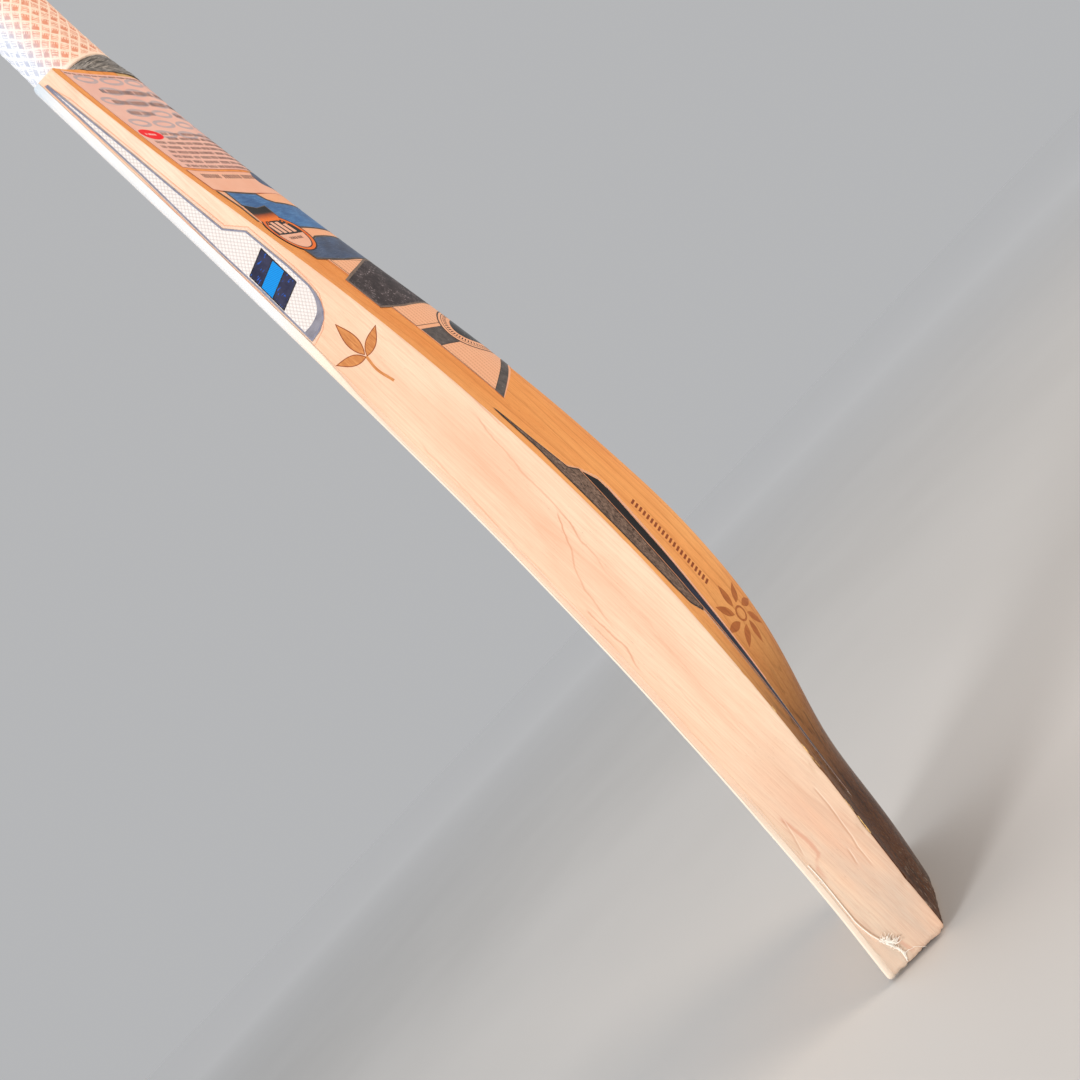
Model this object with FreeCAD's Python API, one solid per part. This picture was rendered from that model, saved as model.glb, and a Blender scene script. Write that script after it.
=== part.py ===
import FreeCAD, Part
import os, math

# Cricket bat, full size with a short handle.
# Row frame: origin on the handle's axis at the middle of the grip, +Z up
# along the handle, +Y out of the back (the spine side), -Y out of the
# hitting face, +X out of the right-hand edge.  Millimetres.
#
# The blade is drawn in its own blade frame (x across, y from face to back,
# z up from the toe) and then leaned back from the handle by LEAN_DEG.

V = FreeCAD.Vector

# ---------------------------------------------------------------- dimensions
SHOULDER_H = 553.0         # shoulders above the blade frame's zero
TOE_DROP = 8.5             # toe below the blade frame's zero (blade 561.5 long)
TOTAL_LEN = 860.0          # toe to top of handle
HALF_W = 54.0              # half the blade's width (108 mm overall)
LEAN_DEG = 2.0             # handle leans this far towards the face
AXIS_Y_REF = 12.2          # handle axis in the blade frame at AXIS_Z_REF
AXIS_Z_REF = 600.0
ORIGIN_UP = 112.0          # origin above AXIS_Z_REF, along the handle
FACE_CROWN = 1.3           # bulge of the hitting face
R_FACE = 1.8               # rounding, face to edge
R_BACK = 1.0               # rounding, edge to back
TOE_CORNER_R = 3.5         # toe corners seen from the face
SHOULDER_R = 4.0           # shoulder corners seen from the face
SKIN = 0.30                # thickness of stickers and face sheet

# Stations up the blade: height, half width, face at the edge,
# edge/back corner, spine crest.
STATIONS = [
    (-22.0, 54.0, -3.0, 30.9, 36.6),
    (-6.0, 54.0, -1.4, 32.5, 39.5),
    (18.0, 54.0, 1.2, 34.6, 43.9),
    (45.0, 54.0, 3.6, 37.6, 47.5),
    (75.0, 54.0, 5.5, 41.2, 51.9),
    (100.0, 54.0, 6.9, 43.9, 58.9),
    (125.0, 54.0, 7.9, 46.2, 66.2),
    (150.0, 54.0, 8.8, 48.0, 71.2),
    (180.0, 54.0, 9.5, 49.6, 74.0),
    (210.0, 54.0, 9.8, 50.2, 74.6),
    (240.0, 54.0, 9.9, 49.9, 73.2),
    (270.0, 54.0, 9.6, 48.7, 71.1),
    (305.0, 54.0, 8.9, 46.3, 67.6),
    (345.0, 53.9, 7.9, 42.3, 62.3),
    (390.0, 53.4, 6.4, 36.4, 55.2),
    (435.0, 52.9, 4.9, 29.3, 48.2),
    (480.0, 52.4, 2.9, 22.2, 42.2),
    (520.0, 51.6, 1.1, 16.9, 37.5),
    (560.0, 50.6, -0.7, 12.3, 34.3),
]
SCALLOP_A = 0.5            # slope of the hollow beside the edge

# Handle
CANE_R = 15.6              # turned radius of the cane
BIND_T = 0.9               # twine binding on the cane
GRIP_R = 18.3              # outside of the rubber grip
GRIP_RIM_R = 19.0          # rolled lower end of the grip
GRIP_LOW_Z = -145.0        # lower end of the grip
TAPE_TOP_Z = -134.0        # throat tape runs up under the grip to here
SPRING_T = 1.6             # rubber strips between the cane layers
SPRING_Y = (-7.9, 0.0, 7.9)
SPRING_LOW_Z = -205.0
COLUMN_X = (-5.3, 5.3)     # joints between the cane columns
SPLICE_TIP_Z = 425.0       # point of the splice, blade frame
SPLICE_TIP_W = 2.2         # half width there
SPLICE_TOP_W = 17.4        # half width at the shoulder
GRIP_HOLE_R = 6.0
GRIP_CAP_T = 2.4

os.makedirs("parts", exist_ok=True)

TH = math.radians(LEAN_DEG)
CT, ST = math.cos(TH), math.sin(TH)


def row(x, y, z):
    """Blade-frame point to row frame."""
    vy, vz = y - AXIS_Y_REF, z - AXIS_Z_REF
    return V(x, vy * CT + vz * ST, -vy * ST + vz * CT - ORIGIN_UP)


M = FreeCAD.Matrix(1, 0, 0, 0,
                   0, CT, ST, -AXIS_Y_REF * CT - AXIS_Z_REF * ST,
                   0, -ST, CT, AXIS_Y_REF * ST - AXIS_Z_REF * CT - ORIGIN_UP,
                   0, 0, 0, 1)
PLACE = FreeCAD.Placement(M)


def to_row(shape):
    s = shape.copy()
    s.Placement = PLACE.multiply(s.Placement)
    return s


TOE_Z = row(0, 15.0, -TOE_DROP).z      # flat toe, square to the handle
TOP_Z = TOE_Z + TOTAL_LEN              # top of the handle
SHOULDER_Z = row(0, 17.0, SHOULDER_H).z


# ---------------------------------------------------------------- the blade
def g(t):
    return SCALLOP_A * t + (3.0 - 2.0 * SCALLOP_A) * t * t + (SCALLOP_A - 2.0) * t ** 3


def section(st, d=0.0):
    """Closed section at one station, grown outwards by d."""
    z, w, yf, ye, ys = st

    def back(x):
        u = min(abs(x), w)
        t = (w - u) / w
        y = ye + (ys - ye) * g(t)
        dg = SCALLOP_A + 2 * (3.0 - 2.0 * SCALLOP_A) * t + 3 * (SCALLOP_A - 2.0) * t * t
        s = (ys - ye) * dg / w
        return y + d * math.sqrt(1 + s * s)

    def face(x):
        u = x / w
        return yf - FACE_CROWN * (1 - u * u) - d

    W = w + d
    rf, rb = R_FACE + d, R_BACK + d
    P = lambda x, y: V(x, y, z)
    xf, xb = W - rf, W - rb
    n = 12
    fpts = [P(xf * i / n, face(xf * i / n)) for i in range(-n, n + 1)]
    n = 16
    bpts = [P(-xb * i / n, back(xb * i / n)) for i in range(-n, n + 1)]
    f_e, b_e = face(xf), back(xb)
    edges = []
    c = Part.BSplineCurve()
    c.interpolate(Points=fpts, Parameters=[float(i) for i in range(len(fpts))])
    edges.append(c.toShape())
    k = math.sqrt(0.5)
    edges.append(Part.Arc(P(xf, f_e), P(xf + rf * k, f_e + rf * (1 - k)), P(W, f_e + rf)).toShape())
    edges.append(Part.LineSegment(P(W, f_e + rf), P(W, b_e - rb)).toShape())
    edges.append(Part.Arc(P(W, b_e - rb), P(W - rb * (1 - k), b_e - rb * (1 - k)), P(xb, b_e)).toShape())
    c = Part.BSplineCurve()
    c.interpolate(Points=bpts, Parameters=[float(i) for i in range(len(bpts))])
    edges.append(c.toShape())
    edges.append(Part.Arc(P(-xb, b_e), P(-W + rb * (1 - k), b_e - rb * (1 - k)), P(-W, b_e - rb)).toShape())
    edges.append(Part.LineSegment(P(-W, b_e - rb), P(-W, f_e + rf)).toShape())
    edges.append(Part.Arc(P(-W, f_e + rf), P(-xf - rf * k, f_e + rf * (1 - k)), P(-xf, f_e)).toShape())
    return Part.Wire(edges)


def blade_body(d=0.0):
    s = Part.makeLoft([section(st, d) for st in STATIONS], True, False)
    return s


def prism_xz(edges, y0=-60.0, y1=140.0):
    """Outline in x and z, blade frame, run right through from face to back."""
    w = Part.Wire(edges)
    f = Part.Face(w)
    f.translate(V(0, y0, 0))
    return f.extrude(V(0, y1 - y0, 0))


def prism_yz(pts, x0, x1):
    """Outline in y and z, blade frame, run across from x0 to x1."""
    w = Part.makePolygon([V(x0, y, z) for y, z in pts] + [V(x0, pts[0][0], pts[0][1])])
    return Part.Face(w).extrude(V(x1 - x0, 0, 0))


def poly(pts):
    n = len(pts)
    return [Part.LineSegment(V(pts[i][0], 0, pts[i][1]), V(pts[(i + 1) % n][0], 0, pts[(i + 1) % n][1])).toShape() for i in range(n)]


def rounded_outline(grow=0.0):
    """The blade seen from the face: rounded toe corners, square shoulders."""
    w0, w1 = HALF_W + grow + 2.0, HALF_W + grow + 2.0
    k = math.sqrt(0.5)
    z0, z1 = -40.0, SHOULDER_H + grow
    ws = 50.7 + grow
    r = SHOULDER_R
    e = [Part.LineSegment(V(-w0, 0, z0), V(w0, 0, z0)).toShape(),
         Part.LineSegment(V(w0, 0, z0), V(w1, 0, z1 - 40)).toShape(),
         Part.LineSegment(V(w1, 0, z1 - 40), V(ws, 0, z1 - r)).toShape(),
         Part.Arc(V(ws, 0, z1 - r), V(ws - r * (1 - k), 0, z1 - r * (1 - k)), V(ws - r, 0, z1)).toShape(),
         Part.LineSegment(V(ws - r, 0, z1), V(-ws + r, 0, z1)).toShape(),
         Part.Arc(V(-ws + r, 0, z1), V(-ws + r * (1 - k), 0, z1 - r * (1 - k)), V(-ws, 0, z1 - r)).toShape(),
         Part.LineSegment(V(-ws, 0, z1 - r), V(-w1, 0, z1 - 40)).toShape(),
         Part.LineSegment(V(-w1, 0, z1 - 40), V(-w0, 0, z0)).toShape()]
    return prism_xz(e)


def toe_block(grow=0.0):
    """Everything above the flat toe with its rounded corners, row frame."""
    r = TOE_CORNER_R
    k = math.sqrt(0.5)
    w = HALF_W + grow + 0.12           # corner arcs cross the edges instead of ending on them
    z0 = TOE_Z - grow
    top = TOP_Z + 20.0
    e = [Part.LineSegment(V(-w + r, 0, z0), V(w - r, 0, z0)).toShape(),
         Part.Arc(V(w - r, 0, z0), V(w - r * (1 - k), 0, z0 + r * (1 - k)), V(w, 0, z0 + r)).toShape(),
         Part.LineSegment(V(w, 0, z0 + r), V(w + 3, 0, z0 + 60)).toShape(),
         Part.LineSegment(V(w + 3, 0, z0 + 60), V(w + 3, 0, top)).toShape(),
         Part.LineSegment(V(w + 3, 0, top), V(-w - 3, 0, top)).toShape(),
         Part.LineSegment(V(-w - 3, 0, top), V(-w - 3, 0, z0 + 60)).toShape(),
         Part.LineSegment(V(-w - 3, 0, z0 + 60), V(-w, 0, z0 + r)).toShape(),
         Part.Arc(V(-w, 0, z0 + r), V(-w + r * (1 - k), 0, z0 + r * (1 - k)), V(-w + r, 0, z0)).toShape()]
    f = Part.Face(Part.Wire(e))
    f.translate(V(0, -150, 0))
    return f.extrude(V(0, 300, 0))


def only_solid(s, what):
    sol = sorted(s.Solids, key=lambda q: -q.Volume)
    if not sol:
        raise RuntimeError("no solid: " + what)
    return sol[0]


inner = blade_body(0.0)
willow_all = to_row(inner)
toe = toe_block()
blade_outline = to_row(rounded_outline())

# Splice: a long V cut down from the shoulder, filled by the handle.
vslot = to_row(prism_xz(poly([
    (-SPLICE_TIP_W, SPLICE_TIP_Z), (SPLICE_TIP_W, SPLICE_TIP_Z),
    (SPLICE_TOP_W, SHOULDER_H), (SPLICE_TOP_W, SHOULDER_H + 30),
    (-SPLICE_TOP_W, SHOULDER_H + 30), (-SPLICE_TOP_W, SHOULDER_H)])))
vplug = to_row(prism_xz(poly([
    (-SPLICE_TIP_W, SPLICE_TIP_Z), (SPLICE_TIP_W, SPLICE_TIP_Z),
    (SPLICE_TOP_W, SHOULDER_H), (-SPLICE_TOP_W, SHOULDER_H)])))

willow = willow_all.common(blade_outline).common(toe)
blade = only_solid(willow.cut(vslot), "blade")


# ---------------------------------------------------------------- the handle
def ring(z, yc, r):
    c = Part.Circle(V(0, yc, z), V(0, 0, 1), r)
    return Part.Wire([c.toShape()])


# Throat stations in the row frame: height, centre offset, radius.
THROAT = [(SHOULDER_Z - 6.0, 3.0, 17.35), (SHOULDER_Z + 1.0, 2.6, 17.2), (-145.0, 1.4, 16.6),
          (-130.0, 0.45, 15.95), (-112.0, 0.0, CANE_R)]


def turned(grow=0.0, low=None, top=TOP_Z):
    secs = [ring(z, yc, r + grow) for z, yc, r in THROAT]
    t = Part.makeLoft(secs, True, False)
    c = Part.makeCylinder(CANE_R + grow, top - THROAT[-1][0], V(0, 0, THROAT[-1][0]))
    return t.fuse(c).removeSplitter()


plug = willow_all.common(vplug)
stick = turned(0.0)
above = to_row(Part.makeBox(200, 200, 600, V(-100, -60, SHOULDER_H)))
handle = plug.fuse(stick.common(above))
handle = only_solid(handle, "handle")

springs = {}
for name, yc in zip(("rubber_spring_front", "rubber_spring_middle", "rubber_spring_back"), SPRING_Y):
    b = Part.makeBox(80, SPRING_T, TOP_Z - SPRING_LOW_Z + 5, V(-40, yc - SPRING_T / 2, SPRING_LOW_Z))
    springs[name] = only_solid(handle.common(b), name)

spring_cut = Part.makeCompound([
    Part.makeBox(80, SPRING_T, TOP_Z - SPRING_LOW_Z + 5, V(-40, yc - SPRING_T / 2, SPRING_LOW_Z))
    for yc in SPRING_Y])

layers = [("front", -90.0, SPRING_Y[0]), ("mid_front", SPRING_Y[0], SPRING_Y[1]),
          ("mid_back", SPRING_Y[1], SPRING_Y[2]), ("back", SPRING_Y[2], 90.0)]
cols = [("left", -60.0, COLUMN_X[0]), ("centre", COLUMN_X[0], COLUMN_X[1]), ("right", COLUMN_X[1], 60.0)]
canes = {}
for ln, y0, y1 in layers:
    slab = handle.common(Part.makeBox(120, y1 - y0, 1200, V(-60, y0, -800)))
    slab = slab.cut(spring_cut)
    for cn, x0, x1 in cols:
        c = slab.common(Part.makeBox(x1 - x0, 200, 1200, V(x0, -100, -800)))
        canes["cane_%s_%s" % (ln, cn)] = only_solid(c, ln + cn)

# Binding and tape share one skin over the cane.
skin_outer = turned(BIND_T, top=TOP_Z - 1.0)
low_cut = to_row(Part.makeBox(200, 200, 900, V(-100, -60, SHOULDER_H + 0.15)))
skin = skin_outer.cut(turned(0.0)).common(low_cut)
tape_box = Part.makeBox(200, 200, 200, V(-100, -100, TAPE_TOP_Z - 200))
tape = only_solid(skin.common(tape_box), "tape")
bind_box = Part.makeBox(200, 200, 600, V(-100, -100, TAPE_TOP_Z))
binding = only_solid(skin.common(bind_box), "binding")

# Rubber grip: rolled lower rim, straight tube, closed top with a vent hole.
GRIP_TOP_Z = TOP_Z + GRIP_CAP_T
GRIP_TUBE_LOW_Z = -112.0
rr = 2.2                                   # rounding of the top
bead = 0.9                                 # rounding of the lower rim
k = math.sqrt(0.5)
flare = Part.BSplineCurve()
flare.interpolate(Points=[V(GRIP_RIM_R, 0, GRIP_LOW_Z + bead), V(GRIP_RIM_R - 0.18, 0, GRIP_LOW_Z + 10.0),
                          V(GRIP_R, 0, GRIP_TUBE_LOW_Z)],
                  InitialTangent=V(0, 0, 10), FinalTangent=V(0, 0, 10))
profile = [
    Part.LineSegment(V(0, 0, GRIP_LOW_Z), V(GRIP_RIM_R - bead, 0, GRIP_LOW_Z)).toShape(),
    Part.Arc(V(GRIP_RIM_R - bead, 0, GRIP_LOW_Z), V(GRIP_RIM_R - bead * (1 - k), 0, GRIP_LOW_Z + bead * (1 - k)),
             V(GRIP_RIM_R, 0, GRIP_LOW_Z + bead)).toShape(),
    flare.toShape(),
    Part.LineSegment(V(GRIP_R, 0, GRIP_TUBE_LOW_Z), V(GRIP_R, 0, GRIP_TOP_Z - rr)).toShape(),
    Part.Arc(V(GRIP_R, 0, GRIP_TOP_Z - rr), V(GRIP_R - rr * (1 - k), 0, GRIP_TOP_Z - rr * (1 - k)),
             V(GRIP_R - rr, 0, GRIP_TOP_Z)).toShape(),
    Part.LineSegment(V(GRIP_R - rr, 0, GRIP_TOP_Z), V(0, 0, GRIP_TOP_Z)).toShape(),
    Part.LineSegment(V(0, 0, GRIP_TOP_Z), V(0, 0, GRIP_LOW_Z)).toShape()]
grip = Part.Face(Part.Wire(profile)).revolve(V(0, 0, 0), V(0, 0, 1), 360)
grip = grip.cut(turned(BIND_T, top=TOP_Z))
grip = grip.cut(Part.makeCylinder(GRIP_HOLE_R, 40, V(0, 0, TOP_Z - 20)))
grip = only_solid(grip, "grip")

# ---------------------------------------------------------------- skins
outer = blade_body(SKIN)
skin_all = outer.cut(inner)                     # thin shell round the blade


def film(prism):
    """Thin film of the blade's own surface inside a blade-frame outline."""
    s = skin_all.common(prism)
    return s


def back_film(edges, name, lo=-60.0):
    p = prism_xz(edges, 10.0, 140.0)
    s = film(p)
    return to_row(only_solid(s, name))


# Upper and lower limits of films that lie on the willow only.
BACK_LABEL = [(45.3, 550.8), (46.6, 512.0), (46.9, 470.0), (46.4, 456.4), (24.5, 451.6), (-24.5, 451.6),
              (-46.4, 456.4), (-46.9, 470.0), (-46.6, 512.0), (-45.3, 550.8)]
UPPER_GRAPHIC = [(45.0, 455.6), (24.5, 451.2), (-24.5, 451.2), (-45.0, 455.6), (-44.0, 431.0),
                 (-40.0, 408.0), (-40.0, 384.5), (-41.0, 364.0), (-4.0, 360.0), (4.0, 360.0),
                 (41.0, 364.0), (40.0, 384.5), (40.0, 408.0), (44.0, 431.0)]
LOWER_GRAPHIC = [(34.0, 362.9), (34.0, 294.6), (0.0, 312.0), (-34.0, 294.6), (-34.0, 362.9), (-4.0, 359.6), (4.0, 359.6)]

badge_prism = {}
for side, sx in (("right", 1), ("left", -1)):
    e = Part.Ellipse(V(0, 0, 0), 14.0, 11.2).toShape()
    w = Part.Wire([e])
    w.rotate(V(0, 0, 0), V(0, 0, 1), 90)
    w.rotate(V(0, 0, 0), V(1, 0, 0), 90)
    w.translate(V(sx * 35.7, 10.0, 421.4))
    badge_prism[side] = Part.Face(w).extrude(V(0, 130, 0))

films = {}
films["back_label"] = back_film(poly(BACK_LABEL), "label")
p = prism_xz(poly(UPPER_GRAPHIC), 10.0, 140.0)
for side in ("right", "left"):
    p = p.cut(badge_prism[side])
films["back_graphic_upper"] = to_row(only_solid(film(p), "upper graphic"))
films["back_graphic_lower"] = back_film(poly(LOWER_GRAPHIC), "lower graphic")
for side in ("right", "left"):
    films["badge_" + side] = to_row(only_solid(film(badge_prism[side]), "badge"))

# Edge stickers: long point at the shoulder, step, round lower end.
EDGE_STICKER = [(6.0, 546.0), (8.7, 526.0), (12.4, 494.0), (15.8, 460.0), (18.2, 438.0), (25.2, 429.0),
                (27.6, 404.0), (28.5, 391.0), (28.2, 386.5), (27.0, 381.0), (25.3, 377.6), (22.7, 375.0),
                (17.7, 372.4), (12.4, 371.8), (11.6, 405.0), (10.4, 432.0), (9.1, 483.0), (6.9, 526.0), (5.6, 546.0)]
for side, x0 in (("right", 40.0), ("left", -60.0)):
    films["edge_sticker_" + side] = to_row(only_solid(film(prism_yz(EDGE_STICKER, x0, x0 + 20.0)), "edge sticker"))

# Lower stickers along the hollow beside each edge.
LOWER_STICKER = [(47.2, 292.0), (47.6, 251.0), (49.4, 221.0), (49.7, 200.0), (49.3, 178.0), (48.4, 169.0),
                 (42.9, 163.0), (42.6, 145.0), (42.6, 117.0), (41.6, 86.0), (38.9, 62.0), (38.6, 75.0),
                 (39.3, 96.0), (39.6, 120.0), (38.9, 145.0), (38.0, 167.0), (36.4, 188.0), (35.0, 211.0),
                 (33.1, 231.0), (32.7, 237.0), (36.2, 244.0), (37.0, 247.0), (41.9, 250.5), (44.9, 271.0), (46.6, 286.0)]
for side, sx in (("right", 1), ("left", -1)):
    films["lower_sticker_" + side] = back_film(poly([(sx * x, z) for x, z in LOWER_STICKER]), "lower sticker")

# Clear sheet over the hitting face, lapped a few millimetres round both edges.
lap = [(-40.0, -20.0), (9.0, -20.0), (9.5, -7.0), (10.9, -3.0), (11.1, 0.6), (10.1, 3.4), (7.9, 5.9), (7.3, 9.2), (6.3, 12.9),
       (5.4, 19.8), (5.8, 26.0), (6.6, 35.4), (8.6, 53.0), (10.4, 84.0), (11.4, 115.0), (13.0, 146.0), (13.8, 178.0),
       (14.3, 209.0), (14.2, 241.0), (13.7, 274.0), (12.9, 306.0), (12.0, 339.0), (10.6, 372.0),
       (9.4, 406.0), (8.6, 439.0), (7.4, 473.0), (5.7, 507.0), (4.6, 530.0), (4.0, 545.0), (-40.0, 545.0)]
sheet = film(prism_yz(lap, -70.0, 70.0))
sheet = to_row(sheet).common(toe)
films["face_sheet"] = only_solid(sheet, "face sheet")

# ---------------------------------------------------------------- export
nodes = {"blade": blade, "handle_binding": binding, "throat_tape": tape, "grip": grip}
nodes.update(canes)
nodes.update(springs)
nodes.update(films)
for name, s in nodes.items():
    if not s.isValid():
        s.fix(1e-4, 1e-4, 1e-3)
    s.exportStep("parts/%s.step" % name)
    b = s.BoundBox
    print("%-24s vol %9.1f  x %.1f..%.1f  y %.1f..%.1f  z %.1f..%.1f  %s" % (
        name, s.Volume, b.XMin, b.XMax, b.YMin, b.YMax, b.ZMin, b.ZMax, s.isValid()))
print("toe z %.2f top z %.2f shoulder z %.2f" % (TOE_Z, TOP_Z, SHOULDER_Z))
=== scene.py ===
import bpy
import math
import random
import numpy as np
from mathutils import Matrix, Vector, noise
from mathutils.geometry import delaunay_2d_cdt


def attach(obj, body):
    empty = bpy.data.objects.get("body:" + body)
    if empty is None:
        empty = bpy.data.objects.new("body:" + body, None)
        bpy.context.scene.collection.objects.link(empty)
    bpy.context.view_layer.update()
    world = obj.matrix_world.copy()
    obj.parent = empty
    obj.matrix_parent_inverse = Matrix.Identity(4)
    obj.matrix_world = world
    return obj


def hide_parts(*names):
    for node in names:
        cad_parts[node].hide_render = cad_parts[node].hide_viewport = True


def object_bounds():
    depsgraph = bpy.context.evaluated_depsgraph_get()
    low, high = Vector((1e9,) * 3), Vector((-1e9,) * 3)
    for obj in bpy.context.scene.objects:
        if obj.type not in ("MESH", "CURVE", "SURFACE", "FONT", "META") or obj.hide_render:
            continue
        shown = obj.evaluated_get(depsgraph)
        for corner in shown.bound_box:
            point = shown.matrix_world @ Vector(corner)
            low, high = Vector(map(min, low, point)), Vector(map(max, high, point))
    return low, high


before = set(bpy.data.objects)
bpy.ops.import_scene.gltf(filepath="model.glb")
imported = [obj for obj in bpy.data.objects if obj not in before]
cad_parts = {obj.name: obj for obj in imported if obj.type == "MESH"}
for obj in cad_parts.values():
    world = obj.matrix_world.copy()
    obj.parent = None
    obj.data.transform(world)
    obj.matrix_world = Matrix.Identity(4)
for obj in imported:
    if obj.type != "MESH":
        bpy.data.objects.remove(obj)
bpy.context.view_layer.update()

random.seed(7)
rng = np.random.default_rng(7)

# ---------------------------------------------------------------- the blade's shape
# Same stations as the CAD model, blade frame, millimetres:
# height, half width, face at the edge, edge/back corner, spine crest.
STATIONS = np.array([
    (-22.0, 54.0, -3.0, 30.9, 36.6), (-6.0, 54.0, -1.4, 32.5, 39.5), (18.0, 54.0, 1.2, 34.6, 43.9),
    (45.0, 54.0, 3.6, 37.6, 47.5), (75.0, 54.0, 5.5, 41.2, 51.9), (100.0, 54.0, 6.9, 43.9, 58.9),
    (125.0, 54.0, 7.9, 46.2, 66.2), (150.0, 54.0, 8.8, 48.0, 71.2), (180.0, 54.0, 9.5, 49.6, 74.0),
    (210.0, 54.0, 9.8, 50.2, 74.6), (240.0, 54.0, 9.9, 49.9, 73.2), (270.0, 54.0, 9.6, 48.7, 71.1),
    (305.0, 54.0, 8.9, 46.3, 67.6), (345.0, 53.9, 7.9, 42.3, 62.3), (390.0, 53.4, 6.4, 36.4, 55.2),
    (435.0, 52.9, 4.9, 29.3, 48.2), (480.0, 52.4, 2.9, 22.2, 42.2), (520.0, 51.6, 1.1, 16.9, 37.5),
    (560.0, 50.6, -0.7, 12.3, 34.3)])
LEAN = math.radians(2.0)
CT, ST = math.cos(LEAN), math.sin(LEAN)
AXIS_Y, AXIS_Z, UP = 12.2, 600.0, 112.0
TOE, SHOULDER, TOTAL = -8.5, 553.0, 860.0
CROWN, SCALLOP = 1.3, 0.5
FILM = 0.30


def row(p):
    """Blade-frame millimetres to row-frame metres."""
    p = np.asarray(p, float)
    vy, vz = p[..., 1] - AXIS_Y, p[..., 2] - AXIS_Z
    return np.stack([p[..., 0], vy * CT + vz * ST, -vy * ST + vz * CT - UP], -1) / 1000.0


def cubic(xs, ys):
    """Natural cubic spline through the stations."""
    n = len(xs)
    h = np.diff(xs)
    A = np.zeros((n, n)); r = np.zeros(n)
    A[0, 0] = A[-1, -1] = 1
    for i in range(1, n - 1):
        A[i, i - 1], A[i, i], A[i, i + 1] = h[i - 1], 2 * (h[i - 1] + h[i]), h[i]
        r[i] = 6 * ((ys[i + 1] - ys[i]) / h[i] - (ys[i] - ys[i - 1]) / h[i - 1])
    m = np.linalg.solve(A, r)

    def f(z):
        z = np.asarray(z, float)
        i = np.clip(np.searchsorted(xs, z) - 1, 0, n - 2)
        a, b = xs[i + 1] - z, z - xs[i]
        return (m[i] * a ** 3 + m[i + 1] * b ** 3) / (6 * h[i]) + (ys[i] / h[i] - m[i] * h[i] / 6) * a + (ys[i + 1] / h[i] - m[i + 1] * h[i] / 6) * b
    return f


ZS = STATIONS[:, 0]
Wf, YFf, YEf, YSf = [cubic(ZS, STATIONS[:, k]) for k in (1, 2, 3, 4)]
TOE_ROW = float(row((0, 15.0, TOE))[2]) * 1000
TOP_ROW = TOE_ROW + TOTAL


def toe_z(y):
    """Height of the flat toe in the blade frame at depth y."""
    return AXIS_Z + (TOE_ROW + UP + (y - AXIS_Y) * ST) / CT


def back_y(x, z):
    w = Wf(z)
    t = np.clip((w - np.abs(x)) / w, 0, 1)
    g = SCALLOP * t + (3 - 2 * SCALLOP) * t * t + (SCALLOP - 2) * t ** 3
    return YEf(z) + (YSf(z) - YEf(z)) * g


def face_y(x, z):
    return YFf(z) - CROWN * (1 - np.clip(np.abs(x) / Wf(z), 0, 1) ** 2)


def outline_w(z):
    """Half width as cut: shoulders and toe corners rounded."""
    w = Wf(z)
    ws, r = 50.7, 4.0
    top = np.where(z > SHOULDER - r, ws - r + np.sqrt(np.clip(r * r - (r - (SHOULDER - z)) ** 2, 0, None)),
                   56.0 + (ws - 56.0) * np.clip((z - (SHOULDER - 40)) / (40 - r), 0, 1))
    w = np.minimum(w, top)
    rt = 3.5
    d = np.clip(z - TOE, 0, rt)
    return np.where(z < TOE + rt, w - rt + np.sqrt(np.clip(rt * rt - (rt - d) ** 2, 0, None)), w)


# Surfaces for the prints: 2-D point -> (point, outward normal), blade frame.
def on_back(p):
    x, z = p[:, 0], p[:, 1]
    e = 0.05
    dx = (back_y(x + e, z) - back_y(x - e, z)) / (2 * e)
    dz = (back_y(x, z + e) - back_y(x, z - e)) / (2 * e)
    n = np.stack([-dx, np.ones_like(x), -dz], 1)
    n /= np.linalg.norm(n, axis=1, keepdims=True)
    return np.stack([x, back_y(x, z), z], 1), n


def on_edge(side):
    def f(p):
        y, z = p[:, 0], p[:, 1]
        n = np.zeros((len(p), 3)); n[:, 0] = side
        return np.stack([side * Wf(z), y, z], 1), n
    return f


def on_face(p):
    x, z = p[:, 0], p[:, 1]
    n = np.zeros((len(p), 3)); n[:, 1] = -1
    return np.stack([x, face_y(x, z), z], 1), n


def worn(p, depth, thick, z):
    """Rounds the toe's and the shoulder's corners towards the face and the back."""
    p = p.copy()
    for r, a, c, sy, sz in ((5.0, 5.0 - depth, 5.0 - (SHOULDER - z), 1, -1), (3.2, 3.2 - depth, 3.2 - (z - TOE), 1, 1), (3.0, 3.0 - (thick - depth), 3.0 - (z - TOE), -1, 1)):
        a, c = np.clip(a, 0, r) / r, np.clip(c, 0, r) / r
        n = np.sqrt(a * a + c * c)
        k = np.where(n > 1, 1 - 1 / np.maximum(n, 1e-9), 0)
        p[:, 1] += sy * r * a * k
        p[:, 2] += sz * r * c * k
    return p


# ---------------------------------------------------------------- mesh helpers
made = []


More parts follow.
